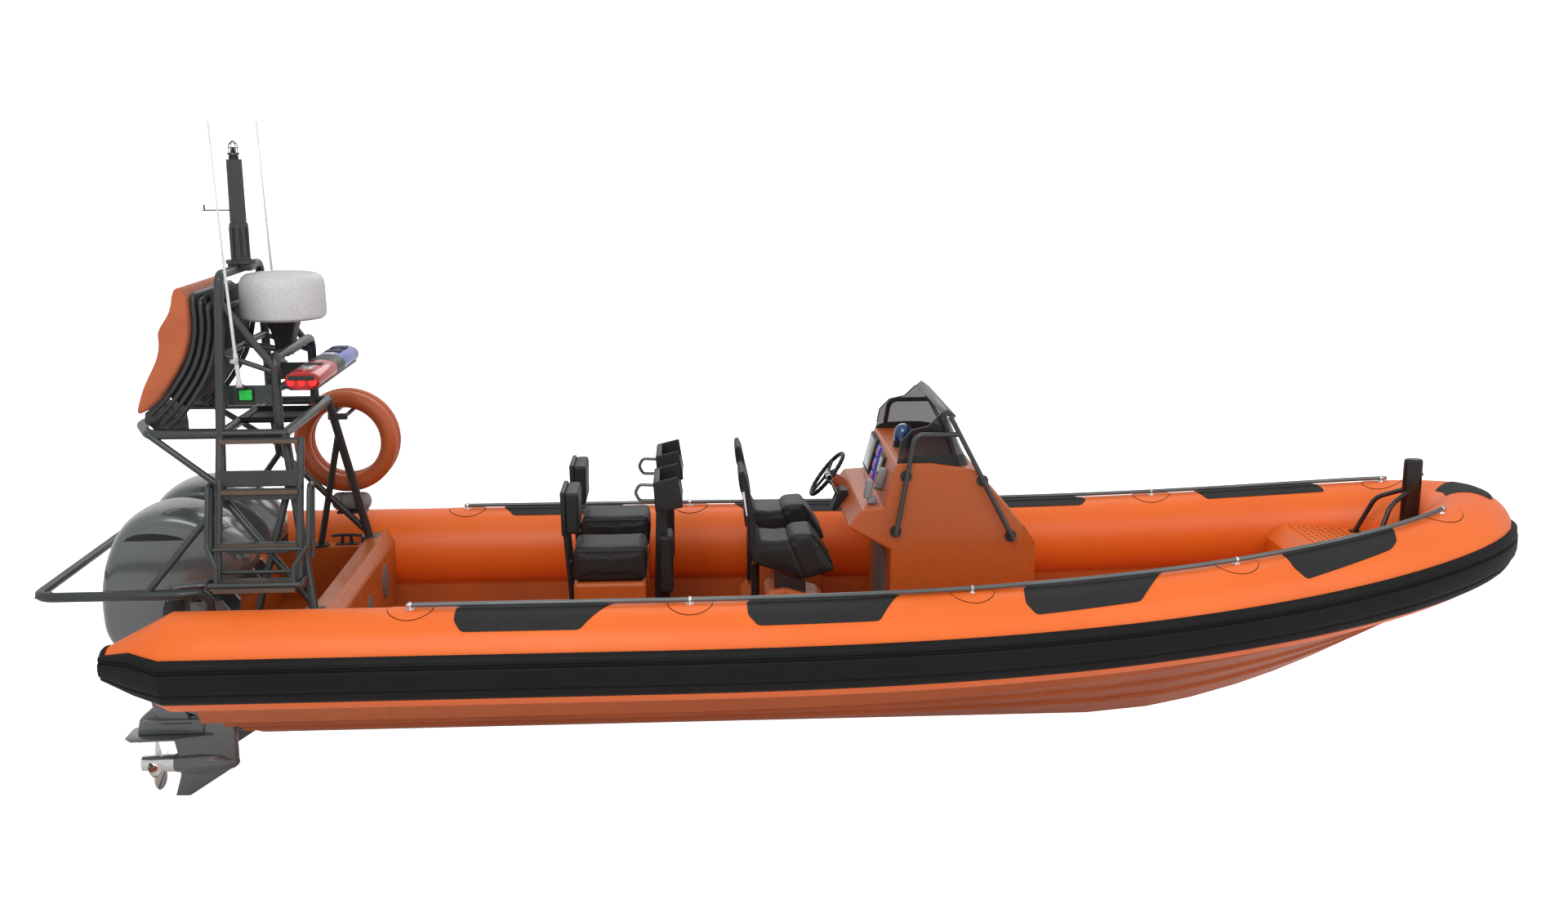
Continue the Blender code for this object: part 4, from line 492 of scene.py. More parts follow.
RAIL_START, RAIL_END = 1.69, 8.06
CLAMP_RUNS = (1.70, 3.26, 4.88, 6.51, 8.03)
RAIL_LIFT = 0.024
rail_paint = finish(
    "grey_rail_paint", (0.150, 0.170, 0.170), (0.095, 0.110, 0.110), (0.26, 0.36), 300.0, 3.0, 0.4, 0.03,
    Metallic=0.35, Coat_Weight=0.3, Coat_Roughness=0.2,
)
bright_steel = finish(
    "bright_steel_fittings", (0.80, 0.80, 0.81), (0.62, 0.62, 0.64), (0.12, 0.22), 120.0, 5.0, 0.4, 0.02,
    Metallic=1.0,
)
for side, mirrored in (("stbd", False), ("port", True)):
    def along(run, degrees=90.0, lift=RAIL_LIFT):
        return on_tube(2 * STEM_RUN - run if mirrored else run, degrees, lift)

    bm = bmesh.new()
    add_bent_bar(bm, [along(RAIL_START + (RAIL_END - RAIL_START) * step / 44) for step in range(45)], 0.014)
    add_piece("grab_rail_tube_" + side, bm, rail_paint, ["grab_rail_" + side])
    bm = bmesh.new()
    for run in CLAMP_RUNS:
        heading = (along(run + 0.01) - along(run - 0.01)).normalized()
        centre = along(run)
        add_bar(bm, centre - heading * 0.007, centre + heading * 0.007, 0.0178)
        add_bar(bm, along(run, 90.0, -0.002), along(run, 90.0, 0.012), 0.015, 0.011)
        add_bar(bm, along(run, 90.0, -0.001), along(run, 90.0, 0.0045), 0.026, 0.024)
        if run in (CLAMP_RUNS[0], CLAMP_RUNS[-1]):
            outer = heading * (-0.022 if run == CLAMP_RUNS[0] else 0.034)
            add_bar(bm, centre + outer * 0.3, centre + outer, 0.0165, 0.011)
    add_piece("rail_clamps_" + side, bm, bright_steel)
    bm = bmesh.new()
    # Painted shade: a black sheet a little wider than each patch shows as a dark rim, standing for the shade
    # along the patch's edge.
    patch_rim_shade = bmesh.new()
    for run in CLAMP_RUNS:
        reach = 0.125
        round_patch = []
        for step in range(28):
            angle = 2 * math.pi * step / 28
            round_patch.append((
                run + reach * math.cos(angle), 90 + math.degrees(reach * math.sin(angle) / TUBE_RADIUS),
            ))
        add_tube_pad(bm, round_patch, 0.0030, 0, mirrored)
        wider = [(run + (a - run) * 1.035, 90 + (b - 90) * 1.035) for a, b in round_patch]
        add_tube_pad(patch_rim_shade, wider, 0.0010, 0, mirrored)
    add_piece("rail_patches_" + side, bm, collar_cloth)
    add_piece("rail_patch_rim_shade_" + side, patch_rim_shade, black_rubber)


# Side view outlines pulled across the boat, used for most moulded and folded parts.
# A part is drawn in profile, given its width, and its edges are rounded.
def add_profile(bm, outline, y_low, y_high, round_over=0.0, segments=3):
    """A side outline of (x, z) points, given width and rounded edges."""
    part = bmesh.new()
    face = part.faces.new([part.verts.new((x, y_low, z)) for x, z in outline])
    pulled(part, [face], (0.0, y_high - y_low, 0.0))
    merge_in(bm, part, round_over, segments)


def add_block(bm, low, high, round_over=0.0, segments=3):
    """A box between two corners, with rounded edges."""
    part = bmesh.new()
    size = [b - a for a, b in zip(low, high)]
    middle = [(a + b) / 2 for a, b in zip(low, high)]
    bmesh.ops.create_cube(part, size=1.0, matrix=Matrix.Translation(middle) @ Matrix.Diagonal((*size, 1.0)))
    merge_in(bm, part, round_over, segments)


def add_plan(bm, outline, z_low, z_high, round_over=0.0, segments=2):
    """A plan outline of (x, y) points, given height and rounded edges."""
    part = bmesh.new()
    face = part.faces.new([part.verts.new((x, y, z_low)) for x, y in outline])
    pulled(part, [face], (0.0, 0.0, z_high - z_low))
    merge_in(bm, part, round_over, segments)


def merge_in(bm, part, round_over, segments):
    """Round a part's edges and add it to a piece."""
    bmesh.ops.recalc_face_normals(part, faces=part.faces)
    if round_over:
        bmesh.ops.bevel(
            part, geom=part.edges[:], offset=round_over, offset_type="OFFSET", segments=segments, profile=0.5,
            affect="EDGES", material=-1,
        )
    shape = bpy.data.meshes.new("part")
    part.to_mesh(shape)
    part.free()
    bm.from_mesh(shape)
    bpy.data.meshes.remove(shape)


# Stern hatches, drain flaps and cleats.
# Speckled grey inspection plates screwed to the front of the stern moulding, and black cast cleats
# bolted to its side decks.
speckled_plate = finish(
    "speckled_grey_plate", (0.22, 0.21, 0.21), (0.085, 0.075, 0.075), (0.45, 0.62), 520.0, 4.0, 0.85, 0.12,
)
bm = bmesh.new()
for y, half_y, low, high in ((-0.52, 0.10, 0.16, 0.40), (0.52, 0.10, 0.16, 0.40), (0.0, 0.07, 0.16, 0.34)):
    part = bmesh.new()
    plate = []
    for step in range(28):
        angle = 2 * math.pi * step / 28
        stretch = 0.85 + 0.15 * abs(math.cos(2 * angle))
        height = (low + high) / 2 + (high - low) / 2 * math.sin(angle) * stretch
        plate.append(part.verts.new((0.967, y + half_y * math.cos(angle) * stretch, height)))
    pulled(part, [part.faces.new(plate)], (0.010, 0.0, 0.0))
    merge_in(bm, part, 0.002, 2)
add_piece("stern_hatch_plates", bm, speckled_plate)
black_cast = finish(
    "black_cast_fittings", (0.030, 0.030, 0.030), (0.014, 0.014, 0.014), (0.34, 0.48), 240.0, 3.0, 0.6, 0.08,
    wear=0.2, worn=(0.16, 0.16, 0.16), Metallic=0.2,
)
bm = bmesh.new()
for side in (-1, 1):
    x, y, z = 0.66, side * 0.86, 0.4505
    add_block(bm, (x - 0.075, y - 0.022, z), (x + 0.075, y + 0.022, z + 0.008), 0.003)
    for off in (-0.032, 0.032):
        add_bar(bm, (x + off, y, z + 0.004), (x + off * 0.85, y, z + 0.058), 0.012, 0.010)
    add_bent_bar(bm, [
        (x - 0.10, y, z + 0.058), (x - 0.05, y, z + 0.064), (x + 0.05, y, z + 0.064),
        (x + 0.10, y, z + 0.058),
    ], 0.011, 0.1)
add_piece("stern_cleats", bm, black_cast)


# Outboard motors: cowl and leg.
# A moulded cowl in glossy grey paint over the powerhead, with a black air slot, a patch that also paints
# the shade in its recess, a dark joint line where it lifts off, and a cast leg with plates, gearcase and skeg
# in the same paint.
COWL_SIDE = (
    (-0.38, 0.16), (-0.445, 0.203), (-0.508, 0.285), (-0.515, 0.40), (-0.512, 0.56), (-0.468, 0.74),
    (-0.386, 0.916),
    (-0.275, 1.015), (-0.10, 1.060), (0.12, 1.022), (0.31, 0.905), (0.392, 0.78), (0.40, 0.66), (0.34, 0.60),
    (0.12, 0.585), (-0.04, 0.585), (-0.10, 0.52), (-0.14, 0.36), (-0.18, 0.20),
)
COWL_LAYERS = (
    (0.252, 0.72, 0.80), (0.250, 0.79, 0.87), (0.232, 0.875, 0.94), (0.18, 0.945, 0.98), (0.095, 0.99, 1.0),
    (0.0, 1.0, 1.0),
)


def smoothed(piece, levels=2):
    """Round a piece with a subdivision surface."""
    skin = piece.modifiers.new("round", "SUBSURF")
    skin.levels = skin.render_levels = levels
    return piece


def motor_finish():
    """Grey motor paint with a dark joint line round the cowl."""
    material = finish(
        "grey_motor_paint", (0.135, 0.150, 0.150), (0.105, 0.118, 0.118), (0.20, 0.27), 600.0, 1.5, 0.4,
        0.015,
        Metallic=0.25, Coat_Weight=0.8, Coat_Roughness=0.08,
    )
    tree = material.node_tree
    shader = tree.nodes["Principled BSDF"]
    painted = shader.inputs["Base Color"].links[0].from_socket
    place = tree.nodes.new("ShaderNodeTexCoord")
    split = tree.nodes.new("ShaderNodeSeparateXYZ")
    near = tree.nodes.new("ShaderNodeMath")
    near.operation = "COMPARE"
    near.inputs[1].default_value = 0.572
    near.inputs[2].default_value = 0.0045
    line = tree.nodes.new("ShaderNodeMix")
    line.data_type = "RGBA"
    line.inputs[7].default_value = (0.012, 0.012, 0.012, 1.0)
    tree.links.new(place.outputs["Object"], split.inputs["Vector"])
    tree.links.new(split.outputs["Z"], near.inputs[0])
    tree.links.new(near.outputs[0], line.inputs[0])
    tree.links.new(painted, line.inputs[6])
    tree.links.new(line.outputs[2], shader.inputs["Base Color"])
    return material


def add_skin_patch(bm, skin, outline, y, hand, lift):
    """A thin plate with a side outline of (x, z) points, bent to lie on a skin's port or starboard side."""
    graph = bpy.context.evaluated_depsgraph_get()
    target = BVHTree.FromObject(skin, graph)
    flat = bmesh.new()
    flat.faces.new([flat.verts.new((x, 0.0, z)) for x, z in outline])
    slice_up(flat, 0, 16)
    slice_up(flat, 2, 16)
    top = pulled(flat, flat.faces[:], (0, 0, 0))
    for vert in flat.verts:
        start = Vector((vert.co.x, y + hand * 1.0, vert.co.z))
        spot = target.ray_cast(start, Vector((0.0, -hand, 0.0)))[0]
        vert.co = spot + Vector((0.0, hand * (lift if vert in top else -0.002), 0.0))
    merge_in(bm, flat, 0.0, 1)


GEARCASE = (
    (0.192, 0.004), (0.186, 0.020), (0.165, 0.038), (0.10, 0.062), (0.03, 0.071), (-0.05, 0.072),
    (-0.12, 0.069),
    (-0.1965, 0.058),
)
MOTORS = (("stbd", -0.35), ("port", 0.35))
SHAFT_Z = -0.61
AIR_SLOT = (
    (-0.305, 0.874), (0.045, 0.874), (0.010, 0.893), (-0.060, 0.910), (-0.143, 0.919), (-0.230, 0.914),
    (-0.280, 0.896),
)
motor_paint = motor_finish()
# Black: on the cowl's air slots it is their black plus painted shade of their recess; on the mast's grooves
# and the holes in plates and tread it is painted shade; on the mast lamp and the light bar's windows it is
# plain black.
black_and_painted_shade = finish("black_and_painted_hole_shade", (0.012, 0.012, 0.012), (0.006, 0.006, 0.006), (0.5, 0.7), 200.0, 3.0)
for side, y in MOTORS:
    body = "motor_" + side
    bm = bmesh.new()
    rings = []
    port_half = [(half, *sizes) for half, *sizes in reversed(COWL_LAYERS[:-1])]
    layers = [(-half, *sizes) for half, *sizes in COWL_LAYERS] + port_half
    for across, aft, top in layers:
        ring = []
        for x, z in COWL_SIDE:
            size = aft if x < -0.08 else max(aft, 0.90)
            grow = top if z > 0.55 else min(1.0, top + 0.06)
            taper = 1.0 - 0.16 * max(0.0, x) / 0.4
            ring.append((-0.08 + (x + 0.08) * size, y + across * taper, 0.60 + (z - 0.60) * grow))
        rings.append(ring)
    add_loops(bm, rings)
    cowl = smoothed(add_piece(
        "cowl_shell_" + side, bm, motor_paint, ["motor_cowl_" + side], body,
    ))
    # A thin black patch on each side of the cowl stands for the air slot: its own black plus painted shade of
    # its recess.
    bm = bmesh.new()
    for hand in (-1, 1):
        add_skin_patch(bm, cowl, AIR_SLOT, y, hand, 0.0016)
    add_piece("cowl_air_slots_" + side, bm, black_and_painted_shade, (), body)
    bm = bmesh.new()
    add_profile(bm, [(-0.20, 0.455), (0.05, 0.455), (0.05, 0.62), (-0.20, 0.62)], y - 0.06, y + 0.06, 0.01, 2)
    add_profile(
        bm, [(-0.09, 0.30), (-0.09, -0.24), (-0.05, -0.34), (-0.27, -0.34), (-0.30, -0.20), (-0.30, 0.30)],
        y - 0.076, y + 0.076, 0.03, 4,
    )
    add_profile(
        bm, [(-0.12, -0.30), (0.025, -0.30), (0.025, -0.245), (-0.12, -0.245)], y - 0.05, y + 0.05, 0.01,
    )
    skirt = [(-0.28, -0.22), (-0.384, -0.307), (-0.406, -0.415), (0.0, -0.415), (0.02, -0.29), (-0.08, -0.25)]
    add_profile(bm, skirt, y - 0.050, y + 0.050, 0.018, 3)
    blade = [
        (0.02, -0.285), (0.13, -0.31), (0.183, -0.36), (0.187, -0.49), (0.186, -0.615), (0.0, -0.625),
        (-0.18, -0.61),
        (-0.177, -0.548), (-0.202, -0.415),
    ]
    add_profile(bm, blade, y - 0.034, y + 0.034, 0.020, 4)
    splash = [
        (0.04, y - 0.05), (0.0, y - 0.09), (-0.34, y - 0.10), (-0.37, y), (-0.34, y + 0.10), (0.0, y + 0.09),
        (0.04, y + 0.05),
    ]
    add_plan(bm, splash, -0.314, -0.299, 0.004)
    plate = [
        (0.080, y), (0.04, y - 0.06), (-0.15, y - 0.12), (-0.42, y - 0.130), (-0.466, y - 0.08),
        (-0.466, y + 0.08),
        (-0.42, y + 0.130), (-0.15, y + 0.12), (0.04, y + 0.06),
    ]
    add_plan(bm, plate, -0.425, -0.411, 0.004)
    add_turned(bm, GEARCASE, (0, y, SHAFT_Z), 32)
    skeg = [
        (0.184, -0.628), (0.16, -0.60), (-0.17, -0.62), (-0.174, -0.699), (-0.214, -0.828), (-0.124, -0.828),
    ]
    add_profile(bm, skeg, y - 0.010, y + 0.010, 0.005, 2)
    tab = [(-0.40, -0.418), (-0.30, -0.418), (-0.34, -0.468), (-0.415, -0.475)]
    add_profile(bm, tab, y - 0.008, y + 0.008, 0.003, 1)
    add_piece("motor_leg_casting_" + side, bm, motor_paint, ["motor_leg_" + side], body)
    paint(motor_paint, "motor_bracket_" + side, "motor_swivel_" + side)


# Propellers.
# Polished stainless steel, four raked blades on a tapering hub, which is pressed on the motor's shaft.
PROPELLER_BLADES = 4
HUB = (
    (-0.1985, 0.030), (-0.1985, 0.055), (-0.24, 0.056), (-0.34, 0.050), (-0.398, 0.047), (-0.3985, 0.041),
    (-0.36, 0.036), (-0.36, 0.006),
)
BLADE_STATIONS = (
    (0.20, 0.066, 62), (0.35, 0.092, 52), (0.55, 0.114, 41), (0.75, 0.114, 33), (0.90, 0.088, 29),
    (0.98, 0.050, 26), (1.0, 0.020, 25),
)
BLADE_SECTION = (
    (-1.0, 0.0), (-0.5, 0.45), (0.1, 0.55), (0.6, 0.40), (1.0, 0.0), (0.6, -0.40), (0.1, -0.55),
    (-0.5, -0.45),
)
prop_steel = finish(
    "polished_propeller", (0.86, 0.85, 0.84), (0.70, 0.69, 0.68), (0.07, 0.14), 90.0, 6.0, 0.4, 0.015,
    Metallic=1.0,
)
for side, y in MOTORS:
    bm = bmesh.new()
    add_turned(bm, HUB, (0, y, SHAFT_Z), 32)
    blades = bmesh.new()
    for turn in range(PROPELLER_BLADES):
        rings = []
        for share, width, pitch in BLADE_STATIONS:
            radius = 0.176 * share
            ring = []
            for along_chord, off in BLADE_SECTION:
                run = width * along_chord / 2
                thick = 0.011 * (1.15 - share) * off
                lean = math.radians(pitch)
                swing = run * math.cos(lean) - thick * math.sin(lean)
                ahead = run * math.sin(lean) + thick * math.cos(lean)
                angle = 2 * math.pi * turn / PROPELLER_BLADES + swing / max(radius, 0.04)
                ring.append((-0.30 + ahead, y + radius * math.cos(angle), SHAFT_Z + radius * math.sin(angle)))
            rings.append(ring)
        add_loops(blades, rings)
    add_piece("propeller_hub_" + side, bm, prop_steel, (), "screw_" + side)
    made = add_piece(
        "propeller_blades_" + side, blades, prop_steel, ["propeller_" + side],
        "screw_" + side,
    )
    smoothed(made)


# Motor guard hoop.
# Welded steel tube in dark grey paint, on two feet on the side decks, with stays up to the arch.
frame_paint = finish(
    "dark_grey_frame_paint", (0.050, 0.057, 0.057), (0.029, 0.033, 0.033), (0.28, 0.40), 320.0, 3.0, 0.45,
    0.035,
    wear=0.20, worn=(0.13, 0.14, 0.14), Metallic=0.3, Coat_Weight=0.2, Coat_Roughness=0.2,
)
bm = bmesh.new()
hoop = [
    (0.24, -0.85, 0.456), (0.24, -0.85, 0.63), (0.10, -0.90, 0.63), (-0.72, -0.90, 0.63), (-0.72, 0.90, 0.63),
    (0.10, 0.90, 0.63), (0.24, 0.85, 0.63), (0.24, 0.85, 0.456),
]
add_bent_bar(bm, hoop, 0.029, 0.10)
for side in (-1, 1):
    add_bar(bm, (-0.10, side * 0.90, 0.635), (0.285, side * 0.672, 1.115), 0.020)
    add_bar(bm, (0.24, side * 0.85, 0.451), (0.24, side * 0.85, 0.464), 0.055, sides=28)
    corner = [(-0.72, side * 0.74), (-0.56, side * 0.90), (-0.72, side * 0.90)]
    add_plan(bm, corner, 0.624, 0.636, 0.002)
add_piece("guard_hoop_tube", bm, frame_paint, ["guard_hoop"])


# Arch.
# Two sides of welded dark grey tube that stand on the stern moulding, a platform frame that reaches
# aft over the motors, and an upper cage that carries the mast, the radar and the righting bag.
bm = bmesh.new()
for side in (-1, 1):
    knee = (0.30, side * 0.66, 1.15)
    add_bar(bm, (0.29, side * 0.57, 1.50), (0.31, side * 0.45, 2.38), 0.028)
    add_bar(bm, (0.60, side * 0.46, 1.50), (0.60, side * 0.455, 1.88), 0.028)
    add_bar(bm, (0.658, side * 0.57, 1.50), (0.83, side * 0.84, 0.452), 0.028)
    add_bar(bm, (0.70, side * 0.63, 1.28), (0.49, side * 0.83, 0.452), 0.022)
    add_bar(bm, (0.29, side * 0.57, 1.50), (0.301, side * 0.664, 1.13), 0.028)
    add_bar(bm, knee, (0.80, side * 0.812, 0.56), 0.022)
    add_bar(bm, (-0.12, side * 0.57, 1.50), (0.295, side * 0.645, 1.20), 0.020)
    add_bar(bm, (0.31, side * 0.452, 2.25), (0.60, side * 0.455, 1.86), 0.022)
    add_bar(bm, (0.305, side * 0.47, 1.95), (0.60, side * 0.455, 1.84), 0.016)
    add_bar(bm, (0.49, side * 0.83, 0.451), (0.49, side * 0.83, 0.462), 0.060, sides=28)
    add_block(bm, (0.77, side * 0.84 - 0.05, 0.451), (0.89, side * 0.84 + 0.05, 0.5165), 0.006)
    add_block(bm, (0.30, side * 0.455 - 0.006, 1.657), (0.60, side * 0.455 + 0.006, 1.767), 0.003)
    add_block(bm, (0.37, side * 0.485 - 0.035, 1.755), (0.43, side * 0.485 + 0.035, 1.767), 0.002)
    add_bar(bm, (0.27, side * 0.57, 1.50), (0.68, side * 0.57, 1.50), 0.028)
    add_block(bm, (-0.21, side * 0.40 - 0.02, 1.48), (0.29, side * 0.40 + 0.02, 1.4995), 0.003)
    add_block(bm, (0.62, side * 0.40 - 0.02, 1.735), (0.80, side * 0.40 + 0.02, 1.7465), 0.002)
top = [(0.31, -0.45, 2.28), (0.31, -0.45, 2.41), (0.31, 0.45, 2.41), (0.31, 0.45, 2.28)]
add_bent_bar(bm, top, 0.028, 0.08)
front = [(0.60, -0.455, 1.78), (0.60, -0.455, 1.93), (0.60, 0.455, 1.93), (0.60, 0.455, 1.78)]
add_bent_bar(bm, front, 0.028, 0.08)
aft = [
    (0.29, -0.57, 1.50), (-0.12, -0.57, 1.50), (-0.265, -0.25, 1.50), (-0.265, 0.25, 1.50),
    (-0.12, 0.57, 1.50),
    (0.29, 0.57, 1.50),
]
add_bent_bar(bm, aft, 0.028, 0.09)
add_bar(bm, (0.658, -0.59, 1.50), (0.658, 0.59, 1.50), 0.028)
add_bar(bm, (0.29, -0.59, 1.50), (0.29, 0.59, 1.50), 0.028)
add_bar(bm, (0.30, -0.47, 1.95), (0.30, 0.47, 1.95), 0.022)
add_bar(bm, (0.31, 0.0, 1.95), (0.60, 0.0, 1.90), 0.020)
add_block(bm, (0.50, -0.17, 1.893), (0.61, 0.17, 1.912), 0.004)
add_block(bm, (0.255, -0.06, 2.398), (0.395, 0.06, 2.4398), 0.006)
add_block(bm, (0.60, -0.47, 1.735), (0.641, 0.47, 1.765), 0.004)
for x in (0.65, 0.75):
    add_bar(bm, (x, 0.62, 1.3805), (x, 1.03, 1.3805), 0.014)
add_block(bm, (0.64, 0.60, 1.3605), (0.765, 0.63, 1.4005), 0.004)
add_block(bm, (0.61, 0.82, 0.671), (0.81, 0.92, 0.6865), 0.003)
add_block(bm, (0.77, 0.78, 0.671), (0.81, 0.83, 0.683), 0.002)
add_piece("arch_tubes", bm, frame_paint, ["arch_frame"])

# Radar pedestal and platform tray.
# A black plastic boot that flares up to the radar, and a black tray for small kit on the platform.
black_plastic = finish(
    "black_moulded_plastic", (0.016, 0.016, 0.017), (0.009, 0.009, 0.010), (0.38, 0.52), 420.0, 3.0, 0.6,
    0.07,
    wear=0.12, worn=(0.08, 0.08, 0.08), Specular_IOR_Level=0.30,
)
RADAR_X = 0.555
bm = bmesh.new()
rings = []
for step in range(9):
    flare = (step / 8) ** 1.8
    ring = []
    for spot in range(36):
        angle = 2 * math.pi * spot / 36
        across, along = math.sin(angle), math.cos(angle)
        ring.append((
            RADAR_X + (0.052 + 0.043 * flare) * math.copysign(abs(along) ** 0.4, along),
            (0.072 + 0.043 * flare) * math.copysign(abs(across) ** 0.4, across),
            1.905 + (2.0995 - 1.905) * step / 8,
        ))
    rings.append(ring)
add_loops(bm, rings)
add_block(bm, (0.29, -0.20, 1.495), (0.66, 0.20, 1.505), 0.002, 1)
for x0, x1, y0, y1 in (
    (0.29, 0.66, -0.20, -0.192), (0.29, 0.66, 0.192, 0.20), (0.29, 0.298, -0.20, 0.20),
    (0.652, 0.66, -0.20, 0.20),
):
    add_block(bm, (x0, y0, 1.495), (x1, y1, 1.530), 0.002, 1)
add_piece("radar_boot_and_tray", bm, black_plastic)


# Boarding ladder.
# Splayed stiles of dark tube hung from the platform, brown treads with dark slatted tops and a blank
# plate. The lower ladder is folded up outside it on two lugs, and its side rails turn back as hand holds.
def ladder_y(z):
    """Where the ladder's plane is at a height."""
    return -(0.60 + 0.25 * (1.49 - z) / 0.83) - 0.045


PIVOT_Y, PIVOT_Z = -0.972, 0.70
brown_tread = finish(
    "brown_tread", (0.150, 0.098, 0.066), (0.080, 0.054, 0.040), (0.45, 0.6), 300.0, 4.0, 0.7, 0.14,
)
def add_tread(bm, boards, low_x, high_x, y, z, half):
    """A tread: brown boards in front and behind, dark slats between."""
    for hand in (-1, 1):
        low, high = sorted((y + hand * half, y + hand * (half - 0.010)))
        add_block(boards, (low_x, low, z - 0.014), (high_x, high, z + 0.010), 0.002, 1)
    pitch = (2 * half - 0.022) / 4
    for slat in range(4):
        across = y - half + 0.011 + pitch * slat
        add_block(bm, (low_x, across, z - 0.010), (high_x, across + pitch - 0.003, z + 0.0135), 0.002, 1)


bm = bmesh.new()
treads = bmesh.new()
for x in (0.305, 0.765):
    add_bar(bm, (x, ladder_y(1.49), 1.49), (x, ladder_y(0.66), 0.66), 0.022)
    add_block(bm, (x - 0.012, ladder_y(1.46) - 0.002, 1.44), (x + 0.012, -0.60, 1.465), 0.003)
for z in (1.475, 1.195, 0.90, 0.70):
    add_tread(bm, treads, 0.312, 0.758, ladder_y(z), z, 0.035)
add_block(bm, (0.305, ladder_y(1.22) - 0.006, 1.22), (0.765, ladder_y(1.22) + 0.006, 1.315), 0.003)
add_block(bm, (0.315, ladder_y(1.16) - 0.004, 1.145), (0.755, ladder_y(1.16) + 0.004, 1.178), 0.002)
under = ladder_y(0.88) - 0.022
add_bent_bar(
    bm, [(0.318, under, 0.892), (0.375, under, 0.862), (0.695, under, 0.862), (0.752, under, 0.892)], 0.008,
    0.04,
)
add_bar(bm, (0.305, ladder_y(0.75), 0.75), (0.765, ladder_y(0.75), 0.75), 0.012)
for x, out in ((0.305, -1), (0.765, 1)):
    y = ladder_y(PIVOT_Z)
    low, high = sorted((x + out * 0.0303, x + out * 0.040))
    add_block(bm, (low, -0.994, 0.678), (high, y + 0.01, 0.724), 0.002, 1)
    low, high = sorted((x, x + out * 0.0343))
    add_block(bm, (low, y - 0.018, 0.682), (high, y + 0.006, 0.720), 0.002, 1)
    bolt = x + out * 0.040
    add_bar(
        bm, (bolt - out * 0.001, PIVOT_Y, PIVOT_Z), (bolt + out * 0.006, PIVOT_Y, PIVOT_Z), 0.017, 0.014, 16,
    )
add_piece("ladder_stiles", bm, frame_paint, ["ladder_fixed"])
add_piece("ladder_treads", treads, brown_tread)


def fold_y(z):
    """Where the folded ladder's plane is at a height."""
    return PIVOT_Y + (-0.80 - PIVOT_Y) * (z - PIVOT_Z) / 0.54


bm = bmesh.new()
treads = bmesh.new()
for foot_x, side_x in ((0.318, 0.262), (0.752, 0.833)):
    add_bent_bar(bm, [
        (foot_x, PIVOT_Y, PIVOT_Z), (foot_x, fold_y(0.80) - 0.004, 0.80), (side_x, fold_y(0.92), 0.92),
        (side_x, -0.80, 1.24),
        (side_x, -0.71, 1.24), (side_x, -0.82, 0.82),
    ], 0.014, 0.045)
add_bar(bm, (0.30, fold_y(0.895), 0.895), (0.80, fold_y(0.895), 0.895), 0.012)
add_tread(bm, treads, 0.305, 0.765, PIVOT_Y - 0.002, 0.676, 0.028)
add_bar(bm, (0.275, PIVOT_Y, PIVOT_Z), (0.795, PIVOT_Y, PIVOT_Z), 0.018)
add_piece("folding_ladder_rails", bm, frame_paint, ["ladder_folding"], "boarding_ladder")
add_piece("folding_ladder_tread", treads, brown_tread, (), "boarding_ladder")


# Righting bag.
# An inflatable bag stowed as a thick folded pad of orange cloth, laced on the rack behind the arch,
# with its aft edge in waves.
def curved(points, steps=5):
    """A smooth line through (x, z) points."""
    points = [Vector(point) for point in points]
    ends = [2 * points[0] - points[1]] + points + [2 * points[-1] - points[-2]]
    line = []
    for a, b, c, d in zip(ends, ends[1:], ends[2:], ends[3:]):
        for step in range(steps):
            t = step / steps
            bend, twist = 2 * a - 5 * b + 4 * c - d, 3 * b - a - 3 * c + d
            line.append(0.5 * (2 * b + (c - a) * t + bend * t * t + twist * t ** 3))
    return line + [points[-1]]


PAD_PRESSURE = 4.0
PAD_FRAMES = 20
PAD_VOXEL = 0.009
PAD_CAP = 0.004


def stuffed(piece, voxel=PAD_VOXEL, cap=PAD_CAP):
    even = piece.modifiers.new("even", "REMESH")
    even.mode = "VOXEL"
    even.voxel_size = voxel
    graph = bpy.context.evaluated_depsgraph_get()
    mesh = bpy.data.meshes.new_from_object(piece.evaluated_get(graph))
    piece.modifiers.clear()
    piece.data = mesh
    swell = piece.modifiers.new("swell", "CLOTH")
    swell.settings.quality = 4
    swell.settings.mass = 0.3
    swell.settings.use_pressure = True
    swell.settings.uniform_pressure_force = PAD_PRESSURE
    swell.settings.effector_weights.gravity = 0.0
    swell.point_cache.frame_start, swell.point_cache.frame_end = 1, PAD_FRAMES
    rest = [vert.co.copy() for vert in mesh.vertices]
    for number in range(1, PAD_FRAMES + 1):
        scene.frame_set(number)
    graph = bpy.context.evaluated_depsgraph_get()
    swollen = piece.evaluated_get(graph).to_mesh()
    places = [vert.co.copy() for vert in swollen.vertices]
    piece.evaluated_get(graph).to_mesh_clear()
    piece.modifiers.clear()
    scene.frame_set(1)
    for vert, start, place in zip(mesh.vertices, rest, places):
        move = place - start
        vert.co = start + move * min(1.0, cap / max(move.length, 0.000001))
    mesh.update()
    mesh.shade_smooth()
    smoothed(piece, 1)
    return piece


